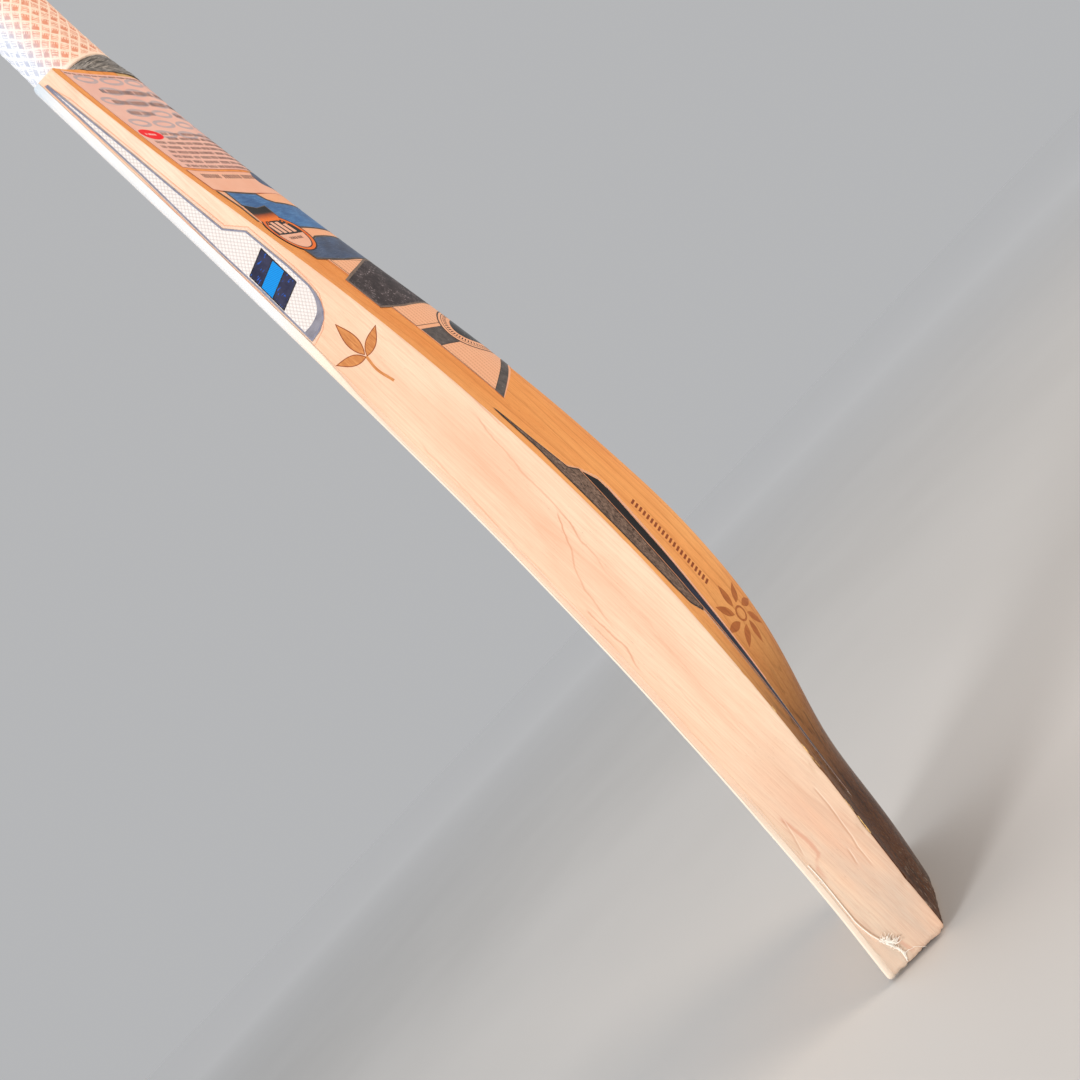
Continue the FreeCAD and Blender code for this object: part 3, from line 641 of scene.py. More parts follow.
# ---------------------------------------------------------------- willow blade
def blade_grid():
    r_f, r_b, r_t = 1.8, 1.0, 1.0
    w0 = 54.0
    edge_d = [0, 0.25, 0.5, 0.75, 1.0, 1.35, 1.8, 2.6]
    xs = [w0 - d for d in edge_d]
    inner = np.linspace(-(w0 - 3.8), w0 - 3.8, 81)
    U = np.concatenate([-np.array(xs), inner, np.array(xs)[::-1]]) / w0
    hv = 36.0
    vd = [0, 0.2, 0.45, 0.75, 1.1, 1.5, 1.9, 2.5]
    Vv = np.concatenate([np.array(vd) / hv, np.linspace(3.4 / hv, 1 - 3.4 / hv, 34), 1 - np.array(vd)[::-1] / hv])
    th = np.radians(np.linspace(0, 90, 9))
    z_lo = TOE + 3.5 * (1 - np.cos(th))
    z_hi = SHOULDER - 4.0 * (1 - np.cos(np.radians(np.linspace(90, 0, 9))))
    fine = 1.1
    Z = np.concatenate([z_lo, np.arange(z_lo[-1] + 0.7, 60, 0.7), np.arange(60.3, z_hi[0] - 0.6, fine), z_hi])
    nx, ny, nz = len(U) - 1, len(Vv) - 1, len(Z) - 1
    I, J, K = np.meshgrid(np.arange(nx + 1), np.arange(ny + 1), np.arange(nz + 1), indexing="ij")
    on = (I == 0) | (I == nx) | (J == 0) | (J == ny) | (K == 0) | (K == nz)
    ids = np.full(I.shape, -1, np.int32)
    ids[on] = np.arange(on.sum())
    i, j, k = I[on], J[on], K[on]
    u, v, z = U[i], Vv[j], Z[k]
    W = outline_w(z)
    X = u * W
    yf, yb = face_y(X, z), back_y(X, z)
    H = yb - yf
    Y = yf + v * H
    # lower end follows the flat toe, square to the handle
    zt = toe_z(Y)
    Zp = z + (zt - TOE) * np.clip(1 - (z - TOE) / 90.0, 0, 1)
    r = np.where(v < 0.5, r_f, r_b)
    a = np.clip(np.abs(X) - (W - r), 0, None) / r * np.sign(X)
    b = np.where(v < 0.5, -np.clip(r - v * H, 0, None) / r, np.clip(r - (1 - v) * H, 0, None) / r)
    c = np.where(z < 100, -np.clip(r_t - (z - TOE), 0, None) / r_t, np.clip(r_t - (SHOULDER - z), 0, None) / r_t)
    n = np.sqrt(a * a + b * b + c * c)
    n = np.where(n < 1e-9, 1, n)
    k_ = np.where(n > 1.0, 1 / n - 1, 0)
    X = X + r * a * k_
    Y = Y + r * b * k_
    Zp = Zp + r_t * c * k_
    P = np.stack([X, Y, Zp], 1)
    P = worn(P, v * H, H, z)
    # wear: chips and a ragged toe, dents on the right edge
    near = np.where(z < TOE + 7)[0]
    for q in near:
        x, y, zz = P[q]
        f = 1 - (z[q] - TOE) / 7.0
        nn = noise.fractal(Vector((x * 0.35, y * 0.45, 3.1)), 0.8, 2.1, 4)
        chip = max(0.0, noise.noise(Vector((x * 0.13 + 9, y * 0.16, 1.7))) - 0.05)
        P[q, 2] += f * (0.35 + 0.75 * nn + 2.0 * chip)
        side = abs(u[q]) > 0.985 or v[q] < 0.02 or v[q] > 0.98
        if side:
            s = 0.35 * noise.fractal(Vector((x * 0.8, y * 0.5, zz * 0.7)), 0.8, 2.1, 3) * f
            P[q, 0] -= abs(s) * np.sign(x) * (abs(u[q]) > 0.985)
            P[q, 1] += abs(s) * (1 if v[q] < 0.02 else (-1 if v[q] > 0.98 else 0))
    # soft dents on the right edge: (y, z, ry, rz, depth)
    for (dy, dz, ry, rz, dep) in ((31.5, 60, 2.2, 14, 0.10), (24, 41, 3, 6, 0.08), (12.5, 62, 2.5, 7, 0.22), (20, 120, 5, 24, 0.12), (36, 30, 4, 16, 0.12), (14, 150, 3, 9, 0.10)):
        m = (u > 0.99)
        d = ((P[:, 1] - dy) / ry) ** 2 + ((P[:, 2] - dz) / rz) ** 2
        P[m, 0] -= (dep * np.exp(-d[m]))
    # small nicks along the edge/back corner
    for (nz_, ln, dep) in ((80, 3.0, 0.5), (83, 1.5, 0.35), (49, 4.0, 0.45), (20, 3, 0.4), (131, 2, 0.3), (210, 2.4, 0.2)):
        m = (u > 0.985) & (v > 0.93)
        e = np.exp(-((P[:, 2] - nz_) / ln) ** 2)
        P[m, 0] -= dep * e[m] * 0.7
        P[m, 1] -= dep * e[m] * 0.7
    quads, mat = [], []

    def side(A, flip, m):
        a0, b0, c0, d0 = A[:-1, :-1], A[1:, :-1], A[1:, 1:], A[:-1, 1:]
        q = np.stack([a0, b0, c0, d0], -1).reshape(-1, 4)
        quads.append(q[:, ::-1] if flip else q); mat.append(np.full(len(q), m))
    side(ids[:, 0, :], False, 3)     # face
    side(ids[:, ny, :], True, 1)     # back
    side(ids[0, :, :], True, 0)      # left edge
    side(ids[nx, :, :], False, 0)    # right edge
    side(ids[:, :, 0], True, 2)      # toe
    side(ids[:, :, nz], False, 2)    # shoulders
    quads = np.concatenate(quads); mat = np.concatenate(mat)
    x, y, zz = P.T
    t = np.clip((186 - zz) / 140.0, 0, 1)
    dark = t * t * (3 - 2 * t) * 0.97
    dark *= np.clip((v - 0.80) / 0.12, 0, 1)
    kn = np.exp(-(((np.abs(x) - 31 + (zz - 52) * 0.16) / 5.5) ** 2 + ((zz - 54) / 15) ** 2))
    return P, quads, mat, dark, kn, tracks(u, P)


P, Q, QM, dark, kn, lines = blade_grid()
blade = add_mesh("willow_blade", row(P), Q, [MATS["edge"], MATS["back"], MATS["end"], MATS["face"]], QM, attrs={"toe_dark": dark, "knot": kn, **lines})

# V slot for the splice
wv = []
for y in (-60.0, 140.0):
    for x, z in ((-2.2, 425.0), (2.2, 425.0), (17.4, SHOULDER), (17.4, SHOULDER + 30), (-17.4, SHOULDER + 30), (-17.4, SHOULDER)):
        wv.append((x, y, z))
wf = [(0, 1, 2, 3, 4, 5), (11, 10, 9, 8, 7, 6)] + [(i, i + 6, (i + 1) % 6 + 6, (i + 1) % 6) for i in range(6)]
cut_me = bpy.data.meshes.new("slot_cut"); cut_me.from_pydata([tuple(p) for p in row(np.array(wv))], [], wf); cut_me.update()
for m_ in (MATS["edge"], MATS["back"], MATS["end"], MATS["face"]):
    cut_me.materials.append(m_)
cutter = bpy.data.objects.new("slot_cut", cut_me)
bpy.context.scene.collection.objects.link(cutter)
import bmesh
bm = bmesh.new(); bm.from_mesh(cut_me); bmesh.ops.recalc_face_normals(bm, faces=bm.faces); bm.to_mesh(cut_me); bm.free()
mod = blade.modifiers.new("slot", "BOOLEAN"); mod.operation = "DIFFERENCE"; mod.solver = "EXACT"; mod.object = cutter
dg = bpy.context.evaluated_depsgraph_get()
cut_done = bpy.data.meshes.new_from_object(blade.evaluated_get(dg), preserve_all_data_layers=True, depsgraph=dg)
blade.modifiers.clear()
blade.data = cut_done
blade.data.name = "willow_blade"
bpy.data.objects.remove(cutter)
blade.data.set_sharp_from_angle(angle=math.radians(50))
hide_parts("blade")

# ---------------------------------------------------------------- cane, rubber and twine keep their CAD shape
for name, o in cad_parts.items():
    mat = None
    if name.startswith("cane_"):
        mat = MATS["cane"]
    elif name.startswith("rubber_spring"):
        mat = MATS["spring"]
    elif name == "handle_binding":
        mat = MATS["twine"]
    if mat:
        o.data.materials.clear(); o.data.materials.append(mat)

# ---------------------------------------------------------------- face sheet
def face_sheet():
    zz = np.concatenate([np.arange(TOE + 0.25, 62, 0.8), np.arange(62, 544.0, 2.0), np.arange(544.0, 551.3, 0.8)])
    lap_z = [-20, -7, -3, 0.6, 3.4, 5.9, 9.2, 12.9, 19.8, 26, 35, 50, 90, 200, 545]
    lap_h = [10.6, 10.6, 11.6, 11.4, 10.2, 7.7, 6.9, 5.5, 4.1, 3.9, 4.1, 4.0, 4.0, 4.1, 4.4]
    rows_, lifts = [], []
    cols = []
    # parameter across: right lap (0..1), corner, face, corner, left lap
    n_lap, n_arc, n_face = 9, 7, 60
    V_, F_ = [], []
    rf = 1.8
    tops, bots = [], []
    edge_mask = []
    for z in zz:
        W = float(outline_w(np.array(z))); w = float(Wf(z))
        h = float(np.interp(z, lap_z, lap_h))
        jag = 0.25 * noise.fractal(Vector((z * 0.5, 0.3, 0)), 0.8, 2.0, 3) * (1.0 if z < 60 else 0.25)
        h += jag
        s0 = float(np.interp(z, [-10, 60, 300, 340, 390, 540], [0.2, 0.4, 0.9, 2.0, 5.2, 6.0])) + 0.5 * noise.noise(Vector((z * 0.09, 5.0, 0)))
        wide = min(1.0, max(0.0, (z - 300.0) / 60.0))
        toe_k = min(1.0, max(0.0, (110.0 - z) / 50.0))
        ye = float(face_y(np.array(W - rf), z)) + rf

        # the lap and the corner of the sheet are made more opaque and white, partly a painted highlight on the rounded
        # face corner
        def arc_cover(q):
            hi = 1 - q / n_arc * 0.8
            lo = max(0.12, 0.66 * toe_k) if q < 3 else (0.9 - 0.1 * (q - 3))
            return hi * wide + lo * (1 - wide)

        def lap(sgn, order):
            out = []
            for q in order:
                t = q / n_lap
                y = ye + (h - rf) * t
                lift = 0.0
                if z < 52:
                    k = min(1.0, (52 - z) / 30.0)
                    lift = k * 0.55 * max(0.0, (t - 0.45) / 0.55) ** 2 * (0.6 + 0.8 * noise.noise(Vector((z * 0.22, 1.7, 0.2))))
                out.append(((sgn * (W + max(0.0, lift)), y, z), (sgn, 0, 0), t, max(0.10 + 0.90 * wide * min(1.0, max(0.0, (s0 + 0.7 - (y - ye + rf)) / 0.7)), 0.66 * toe_k * min(1.0, max(0.0, (1.3 - (y - ye)) / 0.5)))))
            return out
        col = lap(1, range(n_lap, 0, -1))
        for q in range(n_arc + 1):
            a = math.pi / 2 * q / n_arc
            col.append(((W - rf + rf * math.cos(a), ye - rf * math.sin(a), z), (math.cos(a), -math.sin(a), 0), 0.0, arc_cover(q)))
        for q in range(1, n_face):
            x = (W - rf) * (1 - 2 * q / n_face)
            col.append(((x, float(face_y(np.array(x), z)), z), (0, -1, 0), 0.0, 0.2 * max(0.0, 1 - 10 * (1 - abs(x) / (W - rf)))))
        for q in range(n_arc, -1, -1):
            a = math.pi / 2 * q / n_arc
            col.append(((-(W - rf + rf * math.cos(a)), ye - rf * math.sin(a), z), (-math.cos(a), -math.sin(a), 0), 0.0, arc_cover(q)))
        col += lap(-1, range(1, n_lap + 1))
        p = np.array([c[0] for c in col]); n = np.array([c[1] for c in col]); e = [(c[2], c[3]) for c in col]
        p[:, 2] += (toe_z(p[:, 1]) - TOE) * max(0.0, 1 - (z - TOE) / 90.0)
        p = worn(p, p[:, 1] - float(YFf(z)) + 1.3 * (np.abs(p[:, 0]) < W - rf), 30.0, np.full(len(p), z))
        tops.append(p + n * FILM); bots.append(p + n * 0.02); edge_mask.append(e)
    T, B = np.array(tops), np.array(bots)
    R, C = T.shape[:2]
    n = R * C
    idx = np.arange(n).reshape(R, C)
    q = np.stack([idx[:-1, :-1], idx[:-1, 1:], idx[1:, 1:], idx[1:, :-1]], -1).reshape(-1, 4)
    f = [q[:, ::-1], q + n]
    bl = []
    for a, b in ((idx[0, :-1], idx[0, 1:]), (idx[-1, 1:], idx[-1, :-1]), (idx[1:, 0], idx[:-1, 0]), (idx[:-1, -1], idx[1:, -1])):
        bl.append(np.stack([a, b, b + n, a + n], -1))
    F = np.concatenate(f + bl)
    lapm = np.array(edge_mask).reshape(-1, 2)
    return np.concatenate([T.reshape(-1, 3), B.reshape(-1, 3)]), F, np.concatenate([lapm, lapm])


def film_material():
    m = Mat("facing_sheet", 0.30)
    o = m.xyz()
    n = m.noise((0.4, 0.4, 0.06), 4.0, 0.6)
    c = m.mix(m.remap(n, 0.35, 0.65), lin(242, 246, 250), lin(236, 238, 240))
    c = m.mix(m.remap(o[2], -350.0, -320.0, 1.0, 0.0), c, lin(255, 240, 222))
    c = m.mix(m.remap(o[2], -176.0, -160.0, 0.0, 0.9), c, lin(212, 228, 242))
    m.color(c)
    cover = m.attr("cover")
    # the opaque white of the lap is partly a painted highlight on the rounded face corner
    a = m.math("ADD", m.remap(cover, 0.0, 1.0, 0.05, 0.90), m.remap(n, 0.3, 0.7, -0.03, 0.06), clamp=True)
    m.set(m.b, "Alpha", a)
    m.normal(m.bump(m.noise((0.5, 0.5, 0.1), 3.0, 0.6), 0.03, 0.4))
    return m.m


MATS["film"] = film_material()
V_, F_, L_ = face_sheet()
sheet = add_mesh("facing_sheet", row(V_), F_, MATS["film"], attrs={"lap": L_[:, 0], "cover": L_[:, 1]}, auto=45)
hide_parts("face_sheet")

# ---------------------------------------------------------------- grip
def grip():
    R0, zlo, zhi, cap = 18.3, -145.0, TOP_ROW + 2.4, 2.2
    nth = 360
    dz = 0.40
    zs_ = np.concatenate([[zlo, zlo + .15, zlo + .45, zlo + .9], np.arange(zlo + 1.3, zhi - cap, dz)])
    th = np.linspace(0, 2 * math.pi, nth, endpoint=False)

    def prof(z):
        if z < zlo + 0.9:
            d = zlo + 0.9 - z
            return 18.1 + math.sqrt(max(0, 0.81 - d * d))
        if z < -112:
            t = (z - (zlo + 0.9)) / (-112 - (zlo + 0.9))
            return 19.0 + (18.3 - 19.0) * (3 * t * t - 2 * t ** 3)
        return R0
    rows_, tile = [], []
    for z in zs_:
        r = prof(z)
        A = th / (2 * math.pi) * 20.0
        w1 = np.array([noise.noise(Vector((math.cos(t) * 2.6, math.sin(t) * 2.6, z * 0.10))) for t in th])
        w2 = np.array([noise.noise(Vector((math.cos(t) * 2.6 + 7.3, math.sin(t) * 2.6, z * 0.10))) for t in th])
        p = A + z / 7.1 + 0.16 * w1; q = -A + z / 7.1 + 0.16 * w2
        fp, fq = p - np.floor(p), q - np.floor(q)
        par = (np.floor(p) + np.floor(q)) % 2 > 0.5
        d = np.minimum(np.minimum(fp, 1 - fp), np.minimum(fq, 1 - fq))
        wob = np.array([noise.noise(Vector((math.cos(t) * 3.4, math.sin(t) * 3.4, z * 0.16))) for t in th])
        ridge = np.exp(-(d / (0.125 + 0.05 * wob)) ** 2)
        win_p = np.clip((fp - 0.12) / 0.08, 0, 1) * np.clip((0.88 - fp) / 0.08, 0, 1)
        win_q = np.clip((fq - 0.12) / 0.10, 0, 1) * np.clip((0.88 - fq) / 0.10, 0, 1)
        rib_a = (0.5 + 0.5 * np.cos(2 * np.pi * 3.0 * (fp - .5) / 0.76)) ** 1.5 * win_p * win_q
        rib_b = (0.5 + 0.5 * np.cos(2 * np.pi * 3.0 * (fq - .5) / 0.76)) ** 1.5 * win_p * win_q * (fp > 0.58)
        rib = np.where(par, rib_a, 0.7 * rib_b)
        tilt = np.where(par, 0.06 * fq, 0.16 * fp)
        fade = np.clip((z - (zlo + 1.0)) / 1.4, 0, 1) * np.clip((zhi - 6 - z) / 3.0, 0, 1)
        h = 0.20 * ridge + 0.13 * rib + tilt
        rr = r - 0.40 * fade + h * fade
        rows_.append(np.stack([rr * np.cos(th), rr * np.sin(th), np.full(nth, z)], 1))
        tile.append((1 - np.maximum(ridge, 0.85 * rib)) * fade)
    # rounded top and cap with the vent hole
    for q in range(1, 7):
        a = math.pi / 2 * q / 6
        r = R0 - cap + cap * math.cos(a); z = zhi - cap + cap * math.sin(a)
        rows_.append(np.stack([r * np.cos(th), r * np.sin(th), np.full(nth, z)], 1)); tile.append(np.zeros(nth))
    for r in np.linspace(R0 - cap - 1, 6.6, 8):
        rows_.append(np.stack([r * np.cos(th), r * np.sin(th), np.full(nth, zhi - 0.15 * math.sin((r - 6.6) * 1.7) ** 2)], 1)); tile.append(np.zeros(nth))
    for r, z in ((6.15, zhi - 0.2), (6.0, zhi - 0.7), (6.0, TOP_ROW)):
        rows_.append(np.stack([r * np.cos(th), r * np.sin(th), np.full(nth, z)], 1)); tile.append(np.zeros(nth))
    rows_.append(np.stack([16.5 * np.cos(th), 16.5 * np.sin(th), np.full(nth, TOP_ROW)], 1)); tile.append(np.zeros(nth))
    # inner wall: follows the binding's skin
    zz = [TOP_ROW - 3, 0, -112, -122, -130, -138, zlo]
    cy = lambda z: float(np.interp(z, [-145, -130, -112], [1.4, 0.45, 0.0]))
    rr = lambda z: float(np.interp(z, [-145, -130, -112], [17.5, 16.85, 16.5]))
    for z in zz:
        rows_.append(np.stack([rr(z) * np.cos(th), cy(z) + rr(z) * np.sin(th), np.full(nth, z)], 1)); tile.append(np.zeros(nth))
    V = np.array(rows_); R = len(rows_)
    idx = np.arange(R * nth).reshape(R, nth)
    nx = np.roll(idx, -1, 1)
    q = np.stack([idx[:-1], nx[:-1], nx[1:], idx[1:]], -1).reshape(-1, 4)
    close = np.stack([idx[-1], nx[-1], nx[0], idx[0]], -1)
    return V.reshape(-1, 3) / 1000, np.concatenate([q, close]), np.array(tile).reshape(-1)


def grip_material():
    m = Mat("grip_rubber", 0.55)
    t = m.attr("tile")
    o = m.xyz()
    n = m.noise((0.25, 0.25, 0.25), 4.0, 0.6)
    # painted light: bluish white on the -Y side and salmon on the +Y side, standing in for cool light on one side and
    # warm light on the other
    painted_light_side = m.remap(m.math("ADD", o[1], m.math("MULTIPLY", n, 6.0)), -6.0, 9.0)
    ridge = m.mix(painted_light_side, lin(242, 244, 246), lin(255, 230, 210))
    cell = m.mix(painted_light_side, lin(184, 192, 212), lin(224, 148, 120))
    cell = m.mix(m.remap(n, 0.42, 0.66, 0.0, 0.35), cell, m.mix(painted_light_side, lin(232, 236, 244), lin(238, 178, 152)))
    brk = m.remap(m.noise((0.5, 0.5, 0.5), 3.0, 0.65), 0.38, 0.62, -0.18, 0.18)
    # the recessed cells take a darker colour than the ridges: partly painted shade in the recesses, over the rubber's
    # own tone
    c = m.mix(m.remap(m.math("ADD", t, brk), 0.30, 0.95), ridge, cell)
    dirt = m.remap(m.noise((0.08, 0.08, 0.05), 4.0, 0.65), 0.58, 0.75)
    c = m.mix(m.math("MULTIPLY", dirt, 0.12), c, lin(150, 120, 100))
    m.color(c)
    m.rough(m.remap(t, 0.0, 1.0, 0.42, 0.62))
    m.normal(m.bump(m.noise((6, 6, 6), 3.0, 0.6), 0.04, 0.5))
    return m.m


MATS["grip"] = grip_material()
V_, F_, T_ = grip()
grip_o = add_mesh("tiled_grip", V_, F_, MATS["grip"], attrs={"tile": T_}, auto=60)
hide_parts("grip")

# ---------------------------------------------------------------- throat tape
def tape():
    zlo = SHOULDER
    sh = float(row((0, 17.0, SHOULDER))[2]) * 1000
    st = [(sh - 1.0, 2.65, 18.15), (sh + 1.0, 2.6, 18.1), (-145.0, 1.4, 17.5), (-134.0, 0.65, 17.05)]
    zz = np.linspace(sh - 0.4, -134.0, 90)
    nth = 240
    th = np.linspace(0, 2 * math.pi, nth, endpoint=False)
    rows_ = []
    for z in zz:
        c = np.interp(z, [s[0] for s in st], [s[1] for s in st]); r = np.interp(z, [s[0] for s in st], [s[2] for s in st])
        sp = (z - sh) / 5.2 + th / (2 * math.pi)
        fr = sp - np.floor(sp)
        lap = 0.22 * np.exp(-fr / 0.10) - 0.06 * np.exp(-(1 - fr) / 0.05)
        wr = np.array([noise.fractal(Vector((math.cos(t) * 3.0, math.sin(t) * 3.0, z * 0.75 + 0.9 * math.sin(t * 2 + 1))), 0.9, 2.2, 4) for t in th])
        rr = r - 0.12 + lap + 0.09 * wr
        rows_.append(np.stack([rr * np.cos(th), c + rr * np.sin(th), np.full(nth, z)], 1))
    for z in (-134.0, sh - 0.4):
        c = np.interp(z, [s[0] for s in st], [s[1] for s in st]); r = np.interp(z, [s[0] for s in st], [s[2] for s in st]) - 0.85
        rows_.append(np.stack([r * np.cos(th), c + r * np.sin(th), np.full(nth, z)], 1))
    V = np.array(rows_); R = len(rows_)
    idx = np.arange(R * nth).reshape(R, nth); nx = np.roll(idx, -1, 1)
    q = np.stack([idx[:-1], nx[:-1], nx[1:], idx[1:]], -1).reshape(-1, 4)
    close = np.stack([idx[-1], nx[-1], nx[0], idx[0]], -1)
    return V.reshape(-1, 3) / 1000, np.concatenate([q, close])


def tape_material():
    m = Mat("stretched_tape", 0.34)
    n = m.noise((0.25, 0.25, 1.6), 5.0, 0.6, dist=0.8)
    c = m.ramp(n, [(0.28, lin(44, 43, 42)), (0.42, lin(90, 88, 85)), (0.56, lin(142, 138, 134)), (0.70, lin(200, 197, 192))])
    m.color(c)
    m.normal(m.bump(n, 0.12, 0.7))
    return m.m


MATS["tape"] = tape_material()
V_, F_ = tape()
tape_o = add_mesh("throat_wrap", V_, F_, MATS["tape"], auto=60)
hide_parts("throat_tape")

# the tape also runs a few millimetres onto the wood at the spine
lap_t = [(34.0, 552.6), (30.0, 551.2), (24.0, 550.1), (19.0, 549.5), (13.6, 549.0), (5.5, 548.8), (-5.5, 548.8), (-13.6, 549.0), (-19.0, 549.5), (-24.0, 550.1), (-30.0, 551.2), (-34.0, 552.6)]
applied("throat_tape_lap", tri_patch(lap_t, 1.4), on_back, 0.0, 0.28, MATS["tape"])

# ---------------------------------------------------------------- printed films
# the salmon pink of the label and its band stands partly for warm light falling on a paler sheet: painted warm light
MATS["label"] = plastic("label_paper", lin(238, 196, 182), lin(232, 184, 172), (0.06, 0.06, 0.06), 0.42, 0.02)
MATS["band"] = plastic("label_band", lin(242, 190, 166), lin(238, 182, 156), (0.06, 0.06, 0.06), 0.42, 0.02)
MATS["pink_edge"] = plastic("band_edge_ink", lin(206, 132, 112), lin(188, 118, 100), (0.4, 0.4, 0.4), 0.4, 0.01)
MATS["ink_soft"] = plastic("soft_ink", lin(78, 52, 48), lin(104, 74, 68), (0.8, 0.8, 0.8), 0.45, 0.01)
MATS["oval"] = plastic("watermark_ink", lin(182, 168, 174), lin(200, 180, 182), (0.3, 0.3, 0.3), 0.45, 0.01)
MATS["ink"] = plastic("dark_ink", lin(48, 31, 30), lin(70, 47, 44), (0.8, 0.8, 0.8), 0.45, 0.01)
MATS["red"] = plastic("red_ink", lin(250, 4, 14), lin(236, 2, 10), (0.3, 0.3, 0.3), 0.35, 0.01)
MATS["white_ink"] = plastic("white_ink", lin(250, 232, 226), lin(240, 220, 214), (0.3, 0.3, 0.3), 0.4, 0.01)
MATS["outline"] = plastic("outline_ink", lin(34, 32, 34), lin(58, 54, 52), (0.6, 0.6, 0.6), 0.4, 0.01)
MATS["grey_line"] = plastic("grey_border", lin(128, 112, 100), lin(104, 92, 84), (0.4, 0.4, 0.4), 0.4, 0.01)
MATS["bronze"] = plastic("bronze_rim", lin(120, 112, 100), lin(92, 86, 80), (0.5, 0.5, 0.5), 0.36, 0.01)
MATS["peach"] = plastic("peach_film", lin(244, 186, 148), lin(240, 176, 136), (0.05, 0.05, 0.05), 0.42, 0.02)
MATS["orange"] = plastic("orange_ink", lin(240, 124, 40), lin(226, 100, 26), (0.2, 0.2, 0.2), 0.35, 0.01)
MATS["black"] = plastic("black_ink", lin(30, 27, 26), lin(46, 42, 40), (0.3, 0.3, 0.3), 0.35, 0.01)


def brushed_blue(name, a, b, c_):
    m = Mat(name, 0.38, Metallic=0.25)
    o = m.xyz()
    br = m.noise((0.16, 0.16, 2.6), 4.0, 0.65)
    cl = m.noise((0.09, 0.09, 0.09), 3.0, 0.6)
    c = m.mix(m.remap(br, 0.35, 0.68), a, b)
    c = m.mix(m.remap(cl, 0.42, 0.62, 0.0, 0.55), c, c_)
    sp = m.remap(m.noise((1.7, 1.7, 1.7), 1.0, 0.5), 0.735, 0.76)
    c = m.mix(m.math("MULTIPLY", sp, 0.6), c, lin(190, 205, 225))
    m.color(c)
    m.normal(m.bump(br, 0.03, 0.5))
    return m.m


MATS["blue"] = brushed_blue("blue_metal_print", lin(62, 112, 172), lin(98, 150, 206), lin(44, 78, 132))
MATS["slate"] = brushed_blue("slate_metal_print", lin(62, 80, 112), lin(96, 114, 146), lin(66, 70, 86))


def flag_material():
    """Black at the top fading to orange."""
    m = Mat("fading_flag", 0.38)
    o = m.xyz()
    n = m.noise((0.6, 0.6, 0.6), 3.0, 0.6)
    z0, z1 = float(row((35.0, 29.0, 432.5))[2]) * 1000, float(row((35.0, 27.0, 438.0))[2]) * 1000
    f = m.remap(m.math("ADD", o[2], m.math("MULTIPLY", m.math("SUBTRACT", n, 0.5), 1.2)), z0, z1)
    m.color(m.ramp(f, [(0.0, lin(240, 124, 40)), (0.45, lin(176, 84, 26)), (0.8, lin(52, 38, 30)), (1.0, lin(28, 25, 24))]))
    m.normal(m.bump(n, 0.02, 0.4))
    return m.m


MATS["flag"] = flag_material()


def charcoal_material():
    m = Mat("charcoal_print", 0.45)
    n1 = m.noise((0.16, 0.16, 0.16), 5.0, 0.7)
    n2 = m.noise((0.9, 0.9, 0.9), 3.0, 0.7)
    c = m.ramp(n1, [(0.30, lin(40, 34, 36)), (0.55, lin(62, 54, 56)), (0.72, lin(96, 88, 92))])
    sp = m.math("MULTIPLY", m.remap(n2, 0.57, 0.66), m.remap(n1, 0.42, 0.60))
    c = m.mix(m.math("MULTIPLY", sp, 0.8), c, lin(190, 180, 186))
    m.color(c); m.normal(m.bump(n2, 0.04, 0.5))
    return m.m


MATS["charcoal"] = charcoal_material()
MATS["grey_print"] = plastic("grey_print", lin(100, 94, 92), lin(74, 70, 70), (0.35, 0.35, 0.35), 0.42, 0.03, speck=lin(170, 166, 164), speck_scale=(0.9, 0.9, 0.9), speck_cut=0.70)
MATS["hub"] = plastic("gloss_black_print", lin(10, 8, 7), lin(30, 23, 20), (0.25, 0.25, 0.25), 0.22, 0.02, speck=lin(150, 140, 132), speck_scale=(0.5, 0.5, 0.5), speck_cut=0.70)


def hatch_material():
    m = Mat("hatched_print", 0.42)
    o = m.xyz()
    a = m.math("SINE", m.math("MULTIPLY", m.math("ADD", m.math("MULTIPLY", o[0], 1.0), m.math("MULTIPLY", o[2], 0.10)), 2 * math.pi / 2.3))
    b = m.math("SINE", m.math("MULTIPLY", m.math("ADD", m.math("MULTIPLY", o[2], 1.0), m.math("MULTIPLY", m.math("SIGN", a), 0.33)), 2 * math.pi / 1.35))
    n = m.noise((0.4, 0.4, 0.4), 3.0, 0.6)
    h = m.math("MULTIPLY", m.remap(a, -0.6, 0.5), m.remap(b, -0.5, 0.7, 0.35, 1.0))
    c = m.mix(m.math("MULTIPLY", h, 0.55), lin(246, 190, 152), lin(206, 142, 106))
    c = m.mix(m.remap(n, 0.4, 0.7, 0.0, 0.25), c, lin(236, 170, 130))
    m.color(c); m.normal(m.bump(h, 0.03, 0.5))
    return m.m


MATS["hatch"] = hatch_material()


def leather_print():
    m = Mat("brown_textured_print", 0.5)
    v = m.voronoi((0.75, 0.75, 0.42), "DISTANCE_TO_EDGE")
    n = m.noise((0.6, 0.6, 0.35), 5.0, 0.7, dist=1.2)
    c = m.ramp(n, [(0.38, lin(52, 38, 32)), (0.46, lin(108, 87, 74)), (0.64, lin(152, 128, 112))])
    c = m.mix(m.remap(v, 0.0, 0.12, 0.4, 0.0), c, lin(52, 34, 28))
    m.color(c); m.normal(m.bump(n, 0.08, 0.7))
    return m.m


MATS["brown"] = leather_print()
MATS["copper"] = plastic("copper_line", lin(206, 150, 116), lin(184, 126, 92), (0.4, 0.4, 0.2), 0.35, 0.01)
MATS["pink_line"] = plastic("film_highlight", lin(248, 190, 160), lin(240, 178, 146), (0.3, 0.3, 0.1), 0.3, 0.01)


